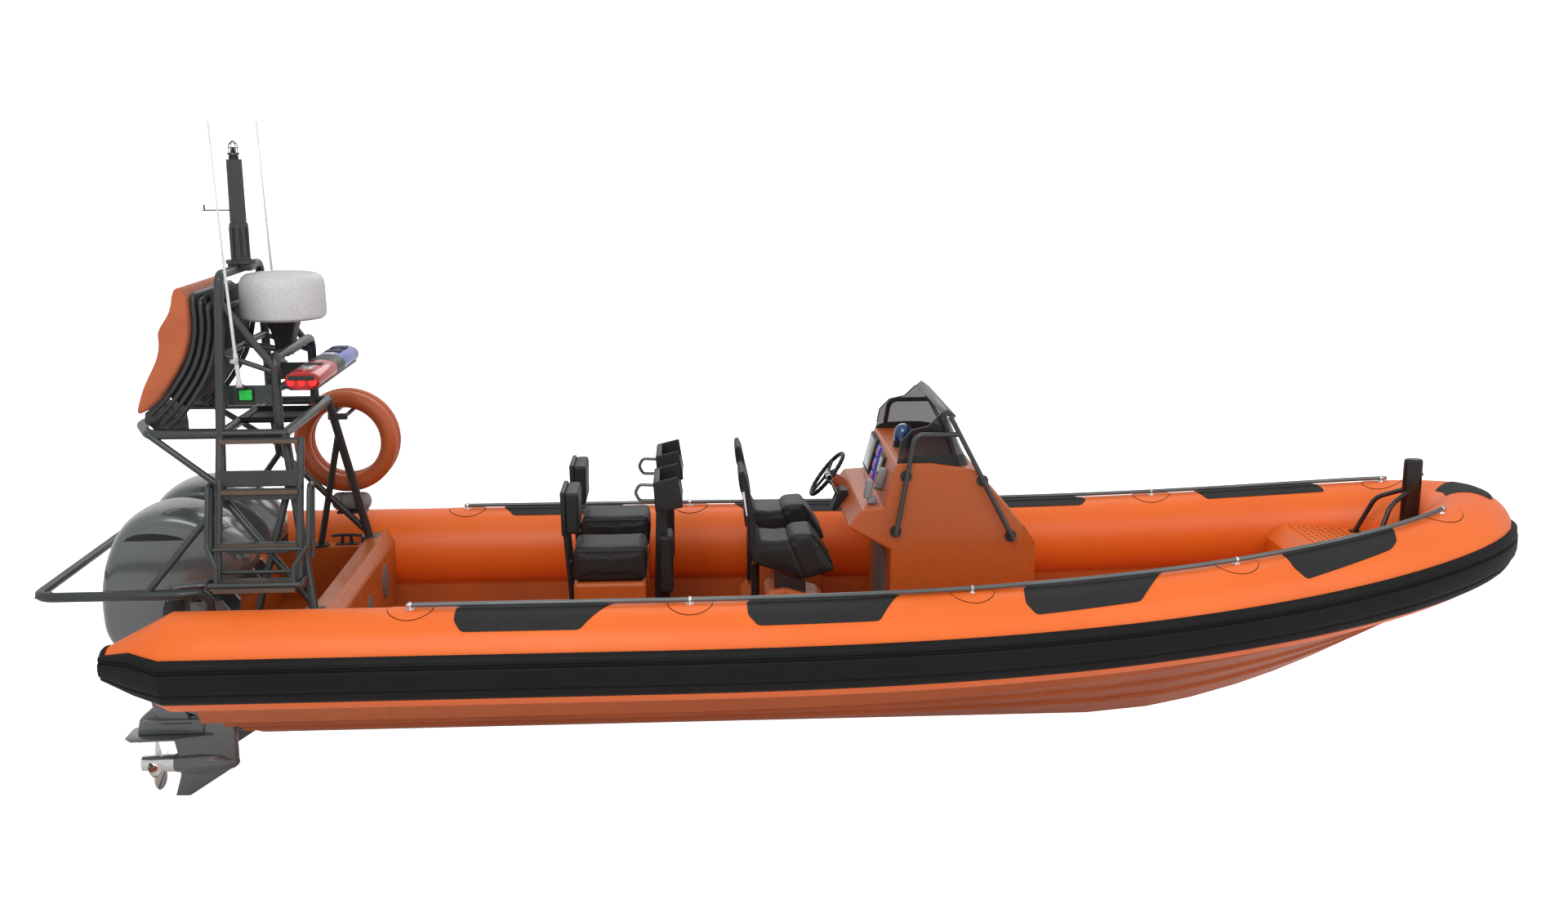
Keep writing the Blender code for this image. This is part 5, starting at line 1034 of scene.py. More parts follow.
BAG_BACK = (
    (0.085, 2.345), (0.036, 2.325), (0.004, 2.20), (-0.064, 2.088), (-0.070, 2.00), (-0.098, 1.90),
    (-0.176, 1.753),
    (-0.226, 1.615), (-0.212, 1.594),
)
BAG_FRONT = ((-0.172, 1.612), (-0.074, 1.708), (0.060, 1.908), (0.112, 2.086), (0.113, 2.28))
bag_cloth = finish(
    "orange_bag_cloth", (0.60, 0.145, 0.050), (0.42, 0.088, 0.028), (0.62, 0.78), 900.0, 5.0, 0.6, 0.14,
    Sheen_Weight=0.2,
)
bm = bmesh.new()
add_profile(bm, [tuple(point) for point in curved(BAG_BACK, 3) + curved(BAG_FRONT, 3)], -0.44, 0.44, 0.0)
stuffed(add_piece("righting_bag_pad", bm, bag_cloth, ["righting_bag"]), 0.013, 0.008)

# Rack and folded skirt of the righting bag.
# Four nested hoops of dark tube, with the bag's black skirt folded between them, on two drilled plates.
RIB_RADIUS, RIB_PITCH = 0.016, 0.042
RACK_FRONT = ((-0.165, 1.60), (-0.061, 1.704), (0.072, 1.904), (0.123, 2.086), (0.124, 2.29))


def beside(line, reach):
    """A line of (x, z) points moved sideways, towards the bow."""
    moved = []
    for i, point in enumerate(line):
        before, after = Vector(line[max(0, i - 1)]), Vector(line[min(len(line) - 1, i + 1)])
        run = (after - before).normalized()
        moved.append((point[0] + run.y * reach, point[1] - run.x * reach))
    return moved


bm = bmesh.new()
folds = bmesh.new()
for rib in range(4):
    spine = beside(RACK_FRONT, RIB_RADIUS + 0.0005 + RIB_PITCH * rib)
    spine[-1] = (spine[-1][0], 2.29 - 0.03 * rib)
    spine = [tuple(point) for point in curved(spine, 3)]
    route = [(x, -0.40, z) for x, z in spine] + [(x, 0.40, z) for x, z in reversed(spine)]
    add_bent_bar(bm, route, RIB_RADIUS, 0.07)
    if rib < 3:
        near = beside(RACK_FRONT, RIB_RADIUS + RIB_PITCH * rib + 0.012)
        far = beside(RACK_FRONT, RIB_RADIUS + RIB_PITCH * rib + 0.030)
        outline = [tuple(point) for point in curved(near[1:], 3) + curved(far[1:], 3)[::-1]]
        add_profile(folds, outline, -0.385, 0.385, 0.006, 2)
for side in (-1, 1):
    plate = [
        (-0.185, 1.60), (-0.06, 1.69), (0.05, 1.64), (0.06, 1.55), (0.06, 1.5005), (-0.14, 1.5005),
        (-0.19, 1.55),
    ]
    add_profile(bm, plate, side * 0.40 - 0.008, side * 0.40 + 0.008, 0.003, 2)
add_bar(bm, (-0.13, -0.42, 1.56), (-0.13, 0.42, 1.56), 0.012)
add_piece("bag_rack_hoops", bm, frame_paint, ["bag_rack"])
black_cloth = finish(
    "black_skirt_cloth", (0.022, 0.022, 0.023), (0.012, 0.012, 0.013), (0.6, 0.8), 800.0, 5.0, 0.6, 0.16,
)
add_piece("bag_skirt_folds", folds, black_cloth)
# Painted shade: black discs stand for the holes in the drilled plates.
bm = bmesh.new()
for side in (-1, 1):
    for x, z in (
        (-0.13, 1.60), (-0.10, 1.565), (-0.06, 1.60), (-0.06, 1.645), (-0.02, 1.565), (-0.02, 1.62),
        (0.02, 1.60),
    ):
        add_bar(bm, (x, side * 0.3915, z), (x, side * 0.4085, z), 0.013, sides=16)
add_piece("bag_plate_holes", bm, black_and_painted_shade)


# Mast and anchor light.
# An eight sided grey mast in a grooved sleeve, a thin bracket aft, and a small lamp under a wire cage.
MAST_X = 0.322
bm = bmesh.new()
add_bar(bm, (MAST_X, 0, 2.4403), (MAST_X, 0, 2.462), 0.088, sides=24)
add_bar(bm, (MAST_X, 0, 2.46), (MAST_X, 0, 2.68), 0.060, 0.057, 8)
add_bar(bm, (MAST_X, 0, 2.66), (MAST_X, 0, 3.057), 0.050, 0.047, 8)
add_block(bm, (0.122, -0.05, 2.755), (0.282, 0.05, 2.760), 0.002, 1)
add_bar(bm, (0.128, 0, 2.758), (0.128, 0, 2.79), 0.005)
add_bar(bm, (MAST_X, 0, 3.084), (MAST_X, 0, 3.096), 0.037, 0.034, 28)
for step in range(4):
    angle = math.pi / 4 + math.pi / 2 * step
    x, y = MAST_X + 0.028 * math.cos(angle), 0.028 * math.sin(angle)
    add_bent_bar(bm, [(x, y, 3.092), (x, y, 3.145), (MAST_X, 0, 3.166)], 0.0028, 0.02, 2)
add_ring(bm, (MAST_X, 0, 3.125), (0, 0, 1), 0.028, 0.0024, 28, 8)
add_piece("mast_tube", bm, frame_paint, ["mast"])
# Painted shade: black strips stand for the shade in the sleeve's grooves; the lamp's base and the lamp above
# it are plain black.
bm = bmesh.new()
for step in range(8):
    turn = Matrix.Rotation(math.pi / 8 + math.pi / 4 * step, 4, "Z") @ Matrix.Translation((0.0535, 0, 0))
    groove = Matrix.Translation((MAST_X, 0, 2.567)) @ turn @ Matrix.Diagonal((0.006, 0.012, 0.180, 1.0))
    bmesh.ops.create_cube(bm, size=1.0, matrix=groove)
add_bar(bm, (MAST_X, 0, 3.05), (MAST_X, 0, 3.086), 0.030, 0.027)
add_bar(bm, (MAST_X, 0, 3.095), (MAST_X, 0, 3.130), 0.012, 0.009)
add_piece("mast_grooves", bm, black_and_painted_shade)


# Radar and whip aerials.
# A speckled pale grey drum on the boot, and white tapering glass fibre whips in clamped feet.
radar_shell = finish(
    "speckled_radar_shell", (0.80, 0.80, 0.80), (0.42, 0.42, 0.42), (0.45, 0.58), 300.0, 4.0, 0.9, 0.09,
)
bm = bmesh.new()
drum = (
    (2.1003, 0.0), (2.1003, 0.19), (2.106, 0.232), (2.120, 0.249), (2.142, 0.255), (2.300, 0.252),
    (2.335, 0.247),
    (2.360, 0.234), (2.375, 0.212), (2.383, 0.170), (2.387, 0.0),
)
add_turned(bm, drum, (RADAR_X, 0, 0), 64, True)
add_piece("radar_drum", bm, radar_shell, ["radome"])
whip_white = finish("white_whip", (0.80, 0.80, 0.80), (0.66, 0.66, 0.66), (0.30, 0.42), 200.0, 5.0, 0.4, 0.02)
for side, y in (("stbd", -0.505), ("port", 0.505)):
    lean = math.copysign(1, y)
    bm = bmesh.new()
    add_bar(bm, (0.40, y, 1.7673), (0.40, y, 1.80), 0.017)
    add_bar(bm, (0.40, y, 1.79), (0.39, y + lean * 0.002, 1.96), 0.012, 0.014)
    add_bar(bm, (0.39, y + lean * 0.002, 1.95), (0.36, y + lean * 0.005, 2.55), 0.010, 0.007)
    add_bar(bm, (0.361, y + lean * 0.005, 2.54), (0.335, y + lean * 0.007, 3.28), 0.006, 0.0030)
    add_piece("whip_" + side, bm, whip_white, ["whip_aerial_" + side])
bm = bmesh.new()
for y in (-0.505, 0.505):
    add_bar(bm, (0.40, y, 1.7675), (0.40, y, 1.776), 0.030)
    add_bar(bm, (0.392, y, 1.900), (0.3915, y, 1.935), 0.018)
    add_block(bm, (0.36, y - 0.02, 1.905), (0.395, y + 0.02, 1.930), 0.004)
add_piece("whip_clips", bm, bright_steel)


# Light bar and side lights.
# A low oval bar with a red starboard lens, a blue port lens and a dark grey middle, lamp reflectors
# behind the lenses, and square green and red side lights on the arch's plates.
def lens(name, colour, glow):
    """Coloured lens plastic with a faint glow from emission: the lamps' own light on lamps, and painted glow
    on the switch caps and the cut-off button, which are no lamps.
    """
    return finish(
        name, colour, tuple(part * 0.55 for part in colour), (0.10, 0.18), 60.0, 9.0, 0.5, 0.0,
        Coat_Weight=0.3,
        Coat_Roughness=0.05, Emission_Color=(*colour, 1.0), Emission_Strength=glow,
    )


BAR_X, BAR_Z = 0.775, 1.805


def add_oval_bar(bm, y_start, y_stop, half_x, half_z, ends=(0.86, 0.86)):
    """A bar of oval section across the boat, with its ends drawn in."""
    rings = []
    reach = min(0.035, (y_stop - y_start) / 3)
    stations = (
        (y_start, ends[0]), (y_start + reach * 0.3, (1 + ends[0]) / 2 + 0.03), (y_start + reach, 1.0),
        (y_stop - reach, 1.0), (y_stop - reach * 0.3, (1 + ends[1]) / 2 + 0.03), (y_stop, ends[1]),
    )
    for y, size in stations:
        ring = []
        for step in range(36):
            angle = 2 * math.pi * step / 36
            across = half_x * min(1.0, size) * math.copysign(abs(math.cos(angle)) ** 0.85, math.cos(angle))
            height = half_z * min(1.0, size) * math.copysign(abs(math.sin(angle)) ** 0.85, math.sin(angle))
            ring.append((BAR_X + across, y, BAR_Z + height))
        rings.append(ring)
    add_loops(bm, rings)


bm = bmesh.new()
add_oval_bar(bm, -0.085, 0.125, 0.1035, 0.0575, (1.0, 1.0))
add_block(bm, (0.692, -0.56, 1.749), (0.858, 0.56, 1.776), 0.010)
for y in (-0.583, 0.583):
    add_block(bm, (0.70, y - 0.004, 1.812), (0.85, y + 0.004, 1.838), 0.003)
add_piece("light_bar_body", bm, black_cast, ["light_bar"])
for name, colour, low, high, ends in (
    ("light_bar_red", (0.50, 0.010, 0.010), -0.578, -0.080, (0.80, 1.0)),
    ("light_bar_blue", (0.020, 0.045, 0.52), 0.120, 0.578, (1.0, 0.80)),
):
    bm = bmesh.new()
    add_oval_bar(bm, low, high, 0.1025, 0.0565, ends)
    add_piece(name, bm, lens(name + "_lens", colour, 0.10))
bm = bmesh.new()
for x in (0.713, 0.775, 0.837):
    add_bar(bm, (x, -0.572, BAR_Z - 0.006), (x, -0.5835, BAR_Z - 0.006), 0.025, 0.022, 24)
add_piece("light_bar_red_lamps", bm, lens("bright_red_lamp", (0.95, 0.02, 0.02), 0.55))
bm = bmesh.new()
for y0, y1 in ((-0.30, -0.22), (0.24, 0.34), (0.40, 0.50)):
    add_block(bm, (0.725, y0, 1.8550), (0.825, y1, 1.8635), 0.004)
add_piece("light_bar_windows", bm, black_and_painted_shade)
bm = bmesh.new()
add_block(bm, (0.735, -0.46, 1.8550), (0.800, -0.32, 1.8630), 0.004)
add_block(bm, (0.735, 0.14, 1.8550), (0.800, 0.22, 1.8630), 0.004)
add_piece("light_bar_reflectors", bm, bright_steel)
bm = bmesh.new()
for y in (-0.4630, 0.4630):
    add_block(bm, (0.376, y - 0.010, 1.672), (0.470, y + 0.010, 1.752), 0.004)
add_piece("side_light_boxes", bm, black_plastic)
for name, y, colour in (
    ("side_light_green", -0.4745, (0.0, 0.50, 0.05)), ("side_light_red", 0.4745, (0.60, 0.01, 0.01)),
):
    bm = bmesh.new()
    add_block(bm, (0.386, y - 0.006, 1.682), (0.460, y + 0.006, 1.742), 0.004)
    add_piece(name, bm, lens(name + "_lens", colour, 0.35))


# Life rings and canister.
# Two hard orange rings hung side by side on pegs, and a speckled grey canister with domed ends,
# strapped to its cradle.
ring_shell = finish(
    "orange_ring_shell", (0.60, 0.125, 0.030), (0.44, 0.080, 0.018), (0.34, 0.46), 380.0, 3.0, 0.6, 0.06,
)
for index, y in enumerate((0.83, 0.947)):
    bm = bmesh.new()
    add_ring(bm, (0.70, y, 1.172), (0, 1, 0), 0.2875, 0.0575, 64, 20)
    add_piece("life_ring_shell_" + "ab"[index], bm, ring_shell, ["life_ring_" + "ab"[index]])
CAN_Y, CAN_Z = 0.872, 0.7489
speckled_can = finish(
    "speckled_canister", (0.40, 0.40, 0.40), (0.17, 0.17, 0.17), (0.55, 0.7), 420.0, 4.0, 0.85, 0.12,
)
bm = bmesh.new()
can = (
    (0.57, 0.0), (0.5735, 0.020), (0.582, 0.040), (0.598, 0.056), (0.62, 0.062), (0.79, 0.062),
    (0.812, 0.056),
    (0.828, 0.040), (0.8365, 0.020), (0.84, 0.0),
)
add_turned(bm, can, (0, CAN_Y, CAN_Z), 40)
add_piece("canister_shell", bm, speckled_can, ["canister"])
bm = bmesh.new()
for x in (0.65, 0.76):
    add_ring(bm, (x, CAN_Y, CAN_Z), (1, 0, 0), 0.0615, 0.0022, 40, 8)
add_piece("canister_straps", bm, black_cloth)


# Rear seats.
# Black vinyl cushion on a moulded pod, and a backrest pad on two dark posts.
def leather_group():
    """Node group: the height of a pebbled grain."""
    group, source, sink = new_group("pebble_grain", (("Scale", 260.0),), ("Height",))
    cells = group.nodes.new("ShaderNodeTexVoronoi")
    cells.feature = "SMOOTH_F1"
    group.links.new(source.outputs["Vector"], cells.inputs["Vector"])
    group.links.new(source.outputs["Scale"], cells.inputs["Scale"])
    group.links.new(cells.outputs["Distance"], sink.inputs["Height"])
    return group


def vinyl_finish():
    """Black seat vinyl with a pebbled grain."""
    material = finish(
        "black_seat_vinyl", (0.018, 0.018, 0.019), (0.010, 0.010, 0.011), (0.44, 0.56), 240.0, 3.0, 0.4, 0.05,
        Specular_IOR_Level=0.32,
    )
    tree = material.node_tree
    relief = next(node for node in tree.nodes if node.type == "BUMP")
    place = next(node for node in tree.nodes if node.type == "TEX_COORD")
    pebbles = tree.nodes.new("ShaderNodeGroup")
    pebbles.node_tree = leather_group()
    tree.links.new(place.outputs["Object"], pebbles.inputs["Vector"])
    tree.links.new(pebbles.outputs["Height"], relief.inputs["Height"])
    relief.inputs["Strength"].default_value = 0.14
    return material


def sew(piece, line_of, depth, width):
    """Pull a sewn channel into a pad where line_of gives a small distance."""
    mesh = piece.data
    normals = [vert.normal.copy() for vert in mesh.vertices]
    for vert, normal in zip(mesh.vertices, normals):
        gap = line_of(vert.co)
        if abs(gap) < 3 * width:
            vert.co -= normal * depth * math.exp(-(gap / width) ** 2)
    mesh.update()


SEAT_Y = 0.38
SEATS = (("stbd", -SEAT_Y), ("port", SEAT_Y))


def twin(piece, name, *stands_for):
    """The port copy of a starboard pad."""
    mesh = piece.data.copy()
    mesh.transform(Matrix.Translation((0, 2 * SEAT_Y, 0)))
    copy = bpy.data.objects.new(name, mesh)
    scene.collection.objects.link(copy)
    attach(copy, "hull")
    if stands_for:
        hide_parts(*stands_for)
    smoothed(copy, 1)


vinyl = vinyl_finish()
bm = bmesh.new()
add_block(bm, (2.301, -SEAT_Y - 0.180, 0.562), (2.738, -SEAT_Y + 0.180, 0.771), 0.026, 3)
cushion = stuffed(add_piece("rear_cushion_stbd", bm, vinyl, ["rear_seat_cushion_stbd"]))
sew(cushion, lambda point: point.z - 0.742, 0.0025, 0.004)
twin(cushion, "rear_cushion_port", "rear_seat_cushion_port")
bm = bmesh.new()
back = [(2.262, 0.852), (2.258, 1.111), (2.338, 1.111), (2.335, 0.852)]
add_profile(bm, back, -SEAT_Y - 0.168, -SEAT_Y + 0.168, 0.014, 3)
pad = stuffed(add_piece("rear_back_pad_stbd", bm, vinyl))
sew(pad, lambda point: point.x - 2.276, 0.0025, 0.004)
twin(pad, "rear_back_pad_port")
for side, y in SEATS:
    bm = bmesh.new()
    for off in (-0.12, 0.12):
        add_bent_bar(
            bm, [(2.283, y + off, 0.30), (2.283, y + off, 0.44), (2.252, y + off, 0.90)], 0.013, 0.12,
        )
        add_block(bm, (2.274, y + off - 0.02, 0.31), (2.2997, y + off + 0.02, 0.37), 0.003)
        add_block(bm, (2.240, y + off - 0.02, 0.86), (2.262, y + off + 0.02, 0.94), 0.003)
    add_bar(bm, (2.270, y - 0.12, 0.62), (2.270, y + 0.12, 0.62), 0.009)
    shell = [(2.238, 0.846), (2.233, 1.114), (2.262, 1.114), (2.264, 0.846)]
    add_profile(bm, shell, y - 0.170, y + 0.170, 0.006, 2)
    add_piece("rear_seat_frame_" + side, bm, black_plastic, ["rear_seat_back_" + side])


# Hand hold units in front of the rear seats.
# A black moulded head with a hooded recess and one looped handle, on a slanted post with a knee pad.
for side, y in SEATS:
    bm = bmesh.new()
    post = [(2.776, 0.0305), (2.788, 0.60), (2.801, 1.00), (2.864, 1.00), (2.864, 0.60), (2.864, 0.0305)]
    add_profile(bm, post, y - 0.05, y + 0.05, 0.008)
    add_block(bm, (2.76, y - 0.09, 0.0303), (2.90, y + 0.09, 0.045), 0.003)
    cheek = [(2.788, 1.172), (2.936, 1.208), (2.965, 1.018), (2.800, 0.994)]
    for low, high in ((-0.204, -0.186), (0.186, 0.204)):
        add_profile(bm, cheek, y + low, y + high, 0.007)
    add_profile(
        bm, [(2.788, 1.170), (2.826, 1.178), (2.832, 1.000), (2.800, 0.995)], y - 0.190, y + 0.190, 0.006,
    )
    add_profile(
        bm, [(2.812, 1.060), (2.948, 1.075), (2.963, 1.020), (2.801, 0.996)], y - 0.190, y + 0.190, 0.006,
    )
    add_profile(
        bm, [(2.925, 1.110), (2.944, 1.112), (2.963, 1.022), (2.945, 1.024)], y - 0.190, y + 0.190, 0.004,
    )
    add_piece("hand_hold_head_" + side, bm, black_plastic, ["handhold_" + side])
    bm = bmesh.new()
    loop = [(2.80, y, 1.113), (2.70, y, 1.118), (2.675, y, 1.068), (2.70, y, 1.019), (2.80, y, 1.017)]
    add_bent_bar(bm, loop, 0.0105, 0.03)
    add_piece("hand_hold_loop_" + side, bm, rail_paint)
bm = bmesh.new()
add_block(bm, (2.814, -SEAT_Y - 0.116, 0.455), (2.896, -SEAT_Y + 0.116, 0.825), 0.020, 3)
pad = stuffed(add_piece("knee_pad_stbd", bm, vinyl))
twin(pad, "knee_pad_port")


# Jockey seats.
# One padded saddle and back in black vinyl with a deep sewn channel, a bright bracket on the back, and
# a moulded plinth with a slim spring leg in a rubber gaiter, a cast carrier and two drilled side plates.
SADDLE = (
    (3.440, 0.630), (3.374, 0.650), (3.364, 0.700), (3.356, 0.862), (3.342, 1.014), (3.309, 1.118),
    (3.300, 1.222),
    (3.326, 1.236), (3.343, 1.180), (3.366, 1.063), (3.389, 0.962), (3.400, 0.845), (3.424, 0.792),
    (3.519, 0.786),
    (3.585, 0.796), (3.624, 0.826), (3.728, 0.836), (3.782, 0.772), (3.842, 0.672), (3.884, 0.606),
    (3.790, 0.574),
    (3.702, 0.542),
)
bm = bmesh.new()
add_profile(bm, SADDLE, -SEAT_Y - 0.166, -SEAT_Y + 0.166, 0.010, 2)
saddle = add_piece("jockey_saddle_stbd", bm, vinyl, ["jockey_seat_stbd"])
stuffed(saddle, cap=0.006)
for start, stop, depth in (((3.600, 0.780), (3.705, 0.533), 0.012), ((3.400, 0.815), (3.372, 0.655), 0.006)):
    lean = Vector((stop[1] - start[1], start[0] - stop[0])).normalized()

    def from_seam(point, lean=lean, start=start):
        return (point.x - start[0]) * lean.x + (point.z - start[1]) * lean.y

    sew(saddle, from_seam, depth, 0.007)
twin(saddle, "jockey_saddle_port", "jockey_seat_port")
for side, y in SEATS:
    trim = bmesh.new()
    for off in (-0.172, 0.166):
        add_profile(
            trim, [(3.318, 1.10), (3.334, 1.105), (3.352, 0.955), (3.342, 0.950)], y + off, y + off + 0.006,
            0.002, 1,
        )
    add_piece("jockey_back_bracket_" + side, trim, bright_steel)
    bm = bmesh.new()
    for ring in range(20):
        add_ring(bm, (3.40, y, 0.29 + 0.0165 * ring), (0, 0, 1), 0.0205, 0.0072, 24, 8)
    add_piece("jockey_gaiter_" + side, bm, black_rubber)
    bm = bmesh.new()
    add_profile(
        bm, [(3.517, 0.455), (3.505, 0.592), (3.64, 0.548), (3.704, 0.525), (3.704, 0.450)], y - 0.115,
        y + 0.115, 0.006,
    )
    add_piece("jockey_carrier_" + side, bm, black_cast)
    # Painted shade: black discs stand for the holes in the drilled side plates.
    bm = bmesh.new()
    for off in (-0.162, 0.162):
        for x, z, radius in (
            (3.56, 0.40, 0.030), (3.66, 0.34, 0.036), (3.76, 0.27, 0.026), (3.50, 0.28, 0.022),
        ):
            add_bar(bm, (x, y + off - 0.0025, z), (x, y + off + 0.0025, z), radius, sides=24)
    add_piece("jockey_plate_holes_" + side, bm, black_and_painted_shade)


# Instruments, switches and throttle on the console.
# A dark screen, a blue backlit switch panel and two grey handsets in cradles, and chromed levers.
def on_dash(share, y, lift=0.0):
    """A point on the sloped instrument face, from its foot to its top."""
    foot, head = Vector((4.167, y, 0.996)), Vector((4.240, y, 1.266))
    face_out = Vector((-(head.z - foot.z), 0.0, head.x - foot.x)).normalized()
    return foot.lerp(head, share) + face_out * lift


def add_dash_box(bm, low, high, y_low, y_high, thickness, round_over=0.003):
    """A box that lies on the instrument face."""
    outline = [
        on_dash(low, 0, -0.002), on_dash(low, 0, thickness), on_dash(high, 0, thickness),
        on_dash(high, 0, -0.002),
    ]
    add_profile(bm, [(point.x, point.z) for point in outline], y_low, y_high, round_over, 2)


bm = bmesh.new()
add_dash_box(bm, 0.10, 0.94, 0.22, 0.53, 0.020, 0.006)
add_dash_box(bm, 0.36, 0.84, -0.20, -0.02, 0.016, 0.006)
add_piece("dash_screens", bm, black_plastic)
screen_glass = finish(
    "dark_screen_glass", (0.030, 0.034, 0.036), (0.018, 0.020, 0.022), (0.05, 0.10), 60.0, 4.0, 0.3, 0.0,
    Coat_Weight=1.0,
)
bm = bmesh.new()
add_dash_box(bm, 0.18, 0.88, 0.25, 0.50, 0.0212, 0.001)
add_dash_box(bm, 0.44, 0.78, -0.18, -0.04, 0.0172, 0.001)
add_piece("dash_screen_glass", bm, screen_glass)
bm = bmesh.new()
for low, high in ((0.06, 0.28), (0.33, 0.58), (0.63, 0.88)):
    add_dash_box(bm, low, high, 0.06, 0.17, 0.014, 0.003)
add_piece("dash_switch_blocks", bm, lens("blue_switches", (0.015, 0.060, 0.62), 0.25))
# Painted glow: the red switch caps glow by emission, though they are no lamps.
bm = bmesh.new()
for low in (0.10, 0.37, 0.67):
    for y in (0.075, 0.105, 0.135):
        add_dash_box(bm, low, low + 0.13, y, y + 0.018, 0.017, 0.001)
add_piece("dash_switch_caps", bm, lens("red_switch_caps", (0.55, 0.02, 0.03), 0.2))
handset_grey = finish(
    "grey_handset", (0.30, 0.30, 0.31), (0.17, 0.17, 0.175), (0.45, 0.6), 400.0, 4.0, 0.6, 0.1,
)
bm = bmesh.new()
add_dash_box(bm, 0.22, 0.68, -0.36, -0.28, 0.040, 0.012)
add_dash_box(bm, 0.18, 0.26, -0.34, -0.30, 0.050, 0.004)
add_block(bm, (4.085, -0.475, 0.9965), (4.135, -0.395, 1.030), 0.006)
add_profile(bm, [(4.060, 1.028), (4.082, 1.145), (4.118, 1.140), (4.104, 1.024)], -0.475, -0.395, 0.010)
add_piece("radio_handsets", bm, handset_grey)
bm = bmesh.new()
axis = Vector((-0.78, 0.0, 0.62)).normalized()
paint(black_plastic, "throttle_box")
THROTTLE_Y = 0.03
for off in (-0.035, 0.035):
    y = THROTTLE_Y + off
    add_bar(bm, (3.945, y, 0.945), (3.89, y, 1.058), 0.0095, 0.0080)
    add_bar(bm, (3.888, y - 0.022, 1.062), (3.888, y + 0.022, 1.062), 0.0185, sides=24)
add_piece("throttle_levers", bm, bright_steel)
bm = bmesh.new()
add_block(bm, (4.203, -0.36, 0.10), (4.209, 0.30, 0.66), 0.002)
add_piece("footwell_panel", bm, speckled_plate)
# Painted glow: the red cut-off button glows by emission, though it is no lamp.
bm = bmesh.new()
add_bar(bm, (4.16, 0.40, 0.62), (4.195, 0.40, 0.62), 0.030, sides=24)
add_bar(bm, (4.19, 0.40, 0.62), (4.2095, 0.40, 0.62), 0.020)
add_piece("cut_off_button", bm, lens("red_button", (0.70, 0.012, 0.012), 0.15))


# Helm wheel.
# A black padded rim on three spokes with a black hub, on the shaft of the steering pump.
bm = bmesh.new()
centre = Vector((3.905, 0.35, 1.005))
low_spoke = axis.cross(Vector((0, 1, 0))).normalized()
add_ring(bm, centre, axis, 0.165, 0.0135, 64, 14)
add_bar(bm, centre - axis * 0.028, centre + axis * 0.004, 0.036, 0.034, 32)
add_bar(bm, centre + axis * 0.003, centre + axis * 0.013, 0.030, 0.022, 32)
for turn in range(3):
    spoke = Matrix.Rotation(2 * math.pi * turn / 3, 3, axis) @ low_spoke
    add_bar(bm, centre + spoke * 0.02, centre + spoke * 0.158, 0.0105, 0.0080)
    for knuckle in range(9):
        around = Matrix.Rotation(2 * math.pi * (turn / 3 + (knuckle + 0.5) / 27), 3, axis) @ low_spoke
        heading = around.cross(axis)
        spot = centre + around * 0.165
        add_bar(bm, spot - heading * 0.006, spot + heading * 0.006, 0.0145, sides=14)
add_piece("helm_wheel_rim", bm, black_plastic, ["steering_wheel"], "helm_wheel")


# Compass.
# A blue tinted dome over a black card bowl, screwed to the top of the dash.
COMPASS_PLACE = (4.35, -0.05)
bm = bmesh.new()
dome = (
    (1.3005, 0.0), (1.3005, 0.058), (1.320, 0.0605), (1.345, 0.0598), (1.369, 0.055), (1.388, 0.046),
    (1.402, 0.033),
    (1.410, 0.016), (1.412, 0.0),
)
add_turned(bm, dome, (*COMPASS_PLACE, 0), 40, True)
add_piece("compass_dome", bm, finish(
    "blue_compass_dome", (0.006, 0.055, 0.20), (0.003, 0.022, 0.09), (0.05, 0.10), 30.0, 9.0, 0.3, 0.0,
    Coat_Weight=1.0,
    Coat_Roughness=0.03, Metallic=0.3,
), ["compass"])
bm = bmesh.new()
add_bar(bm, (*COMPASS_PLACE, 1.2663), (*COMPASS_PLACE, 1.302), 0.058, 0.063, 32)
add_bar(bm, (*COMPASS_PLACE, 1.2663), (*COMPASS_PLACE, 1.276), 0.068, 0.066, 32)
add_piece("compass_bowl", bm, black_plastic)


# Console hand rails.
# Bent dark tube down each side of the console, on black round flanges.
RAIL_FEET = ((4.24, 0.85), (4.30, 1.19), (4.762, 1.155), (4.94, 0.81))
for side, hand in (("stbd", -1), ("port", 1)):
    y = hand * 0.617
    bm = bmesh.new()
    route = [(4.238, y, 0.835), (4.302, y, 1.20), (4.345, y, 1.448), (4.607, y, 1.448), (4.62, y, 1.44)]
    add_bent_bar(bm, route, 0.015, 0.06, 5)
    add_bar(bm, (4.560, hand * 0.600, 1.550), (4.955, y, 0.795), 0.015)
    add_bar(bm, (4.560, hand * 0.598, 1.546), (4.560, hand * 0.572, 1.546), 0.008)
    for x, z in RAIL_FEET:
        add_bar(bm, (x, hand * 0.590, z), (x, y, z), 0.012)
    add_piece("console_rail_tube_" + side, bm, frame_paint, ["console_rail_" + side])
    bm = bmesh.new()
    for x, z in RAIL_FEET:
        add_bar(bm, (x, hand * 0.5803, z), (x, hand * 0.592, z), 0.036, 0.034, 32)
        add_bar(bm, (x, hand * 0.591, z), (x, hand * 0.598, z), 0.024, 0.020, 32)
    add_piece("console_rail_flanges_" + side, bm, black_cast)


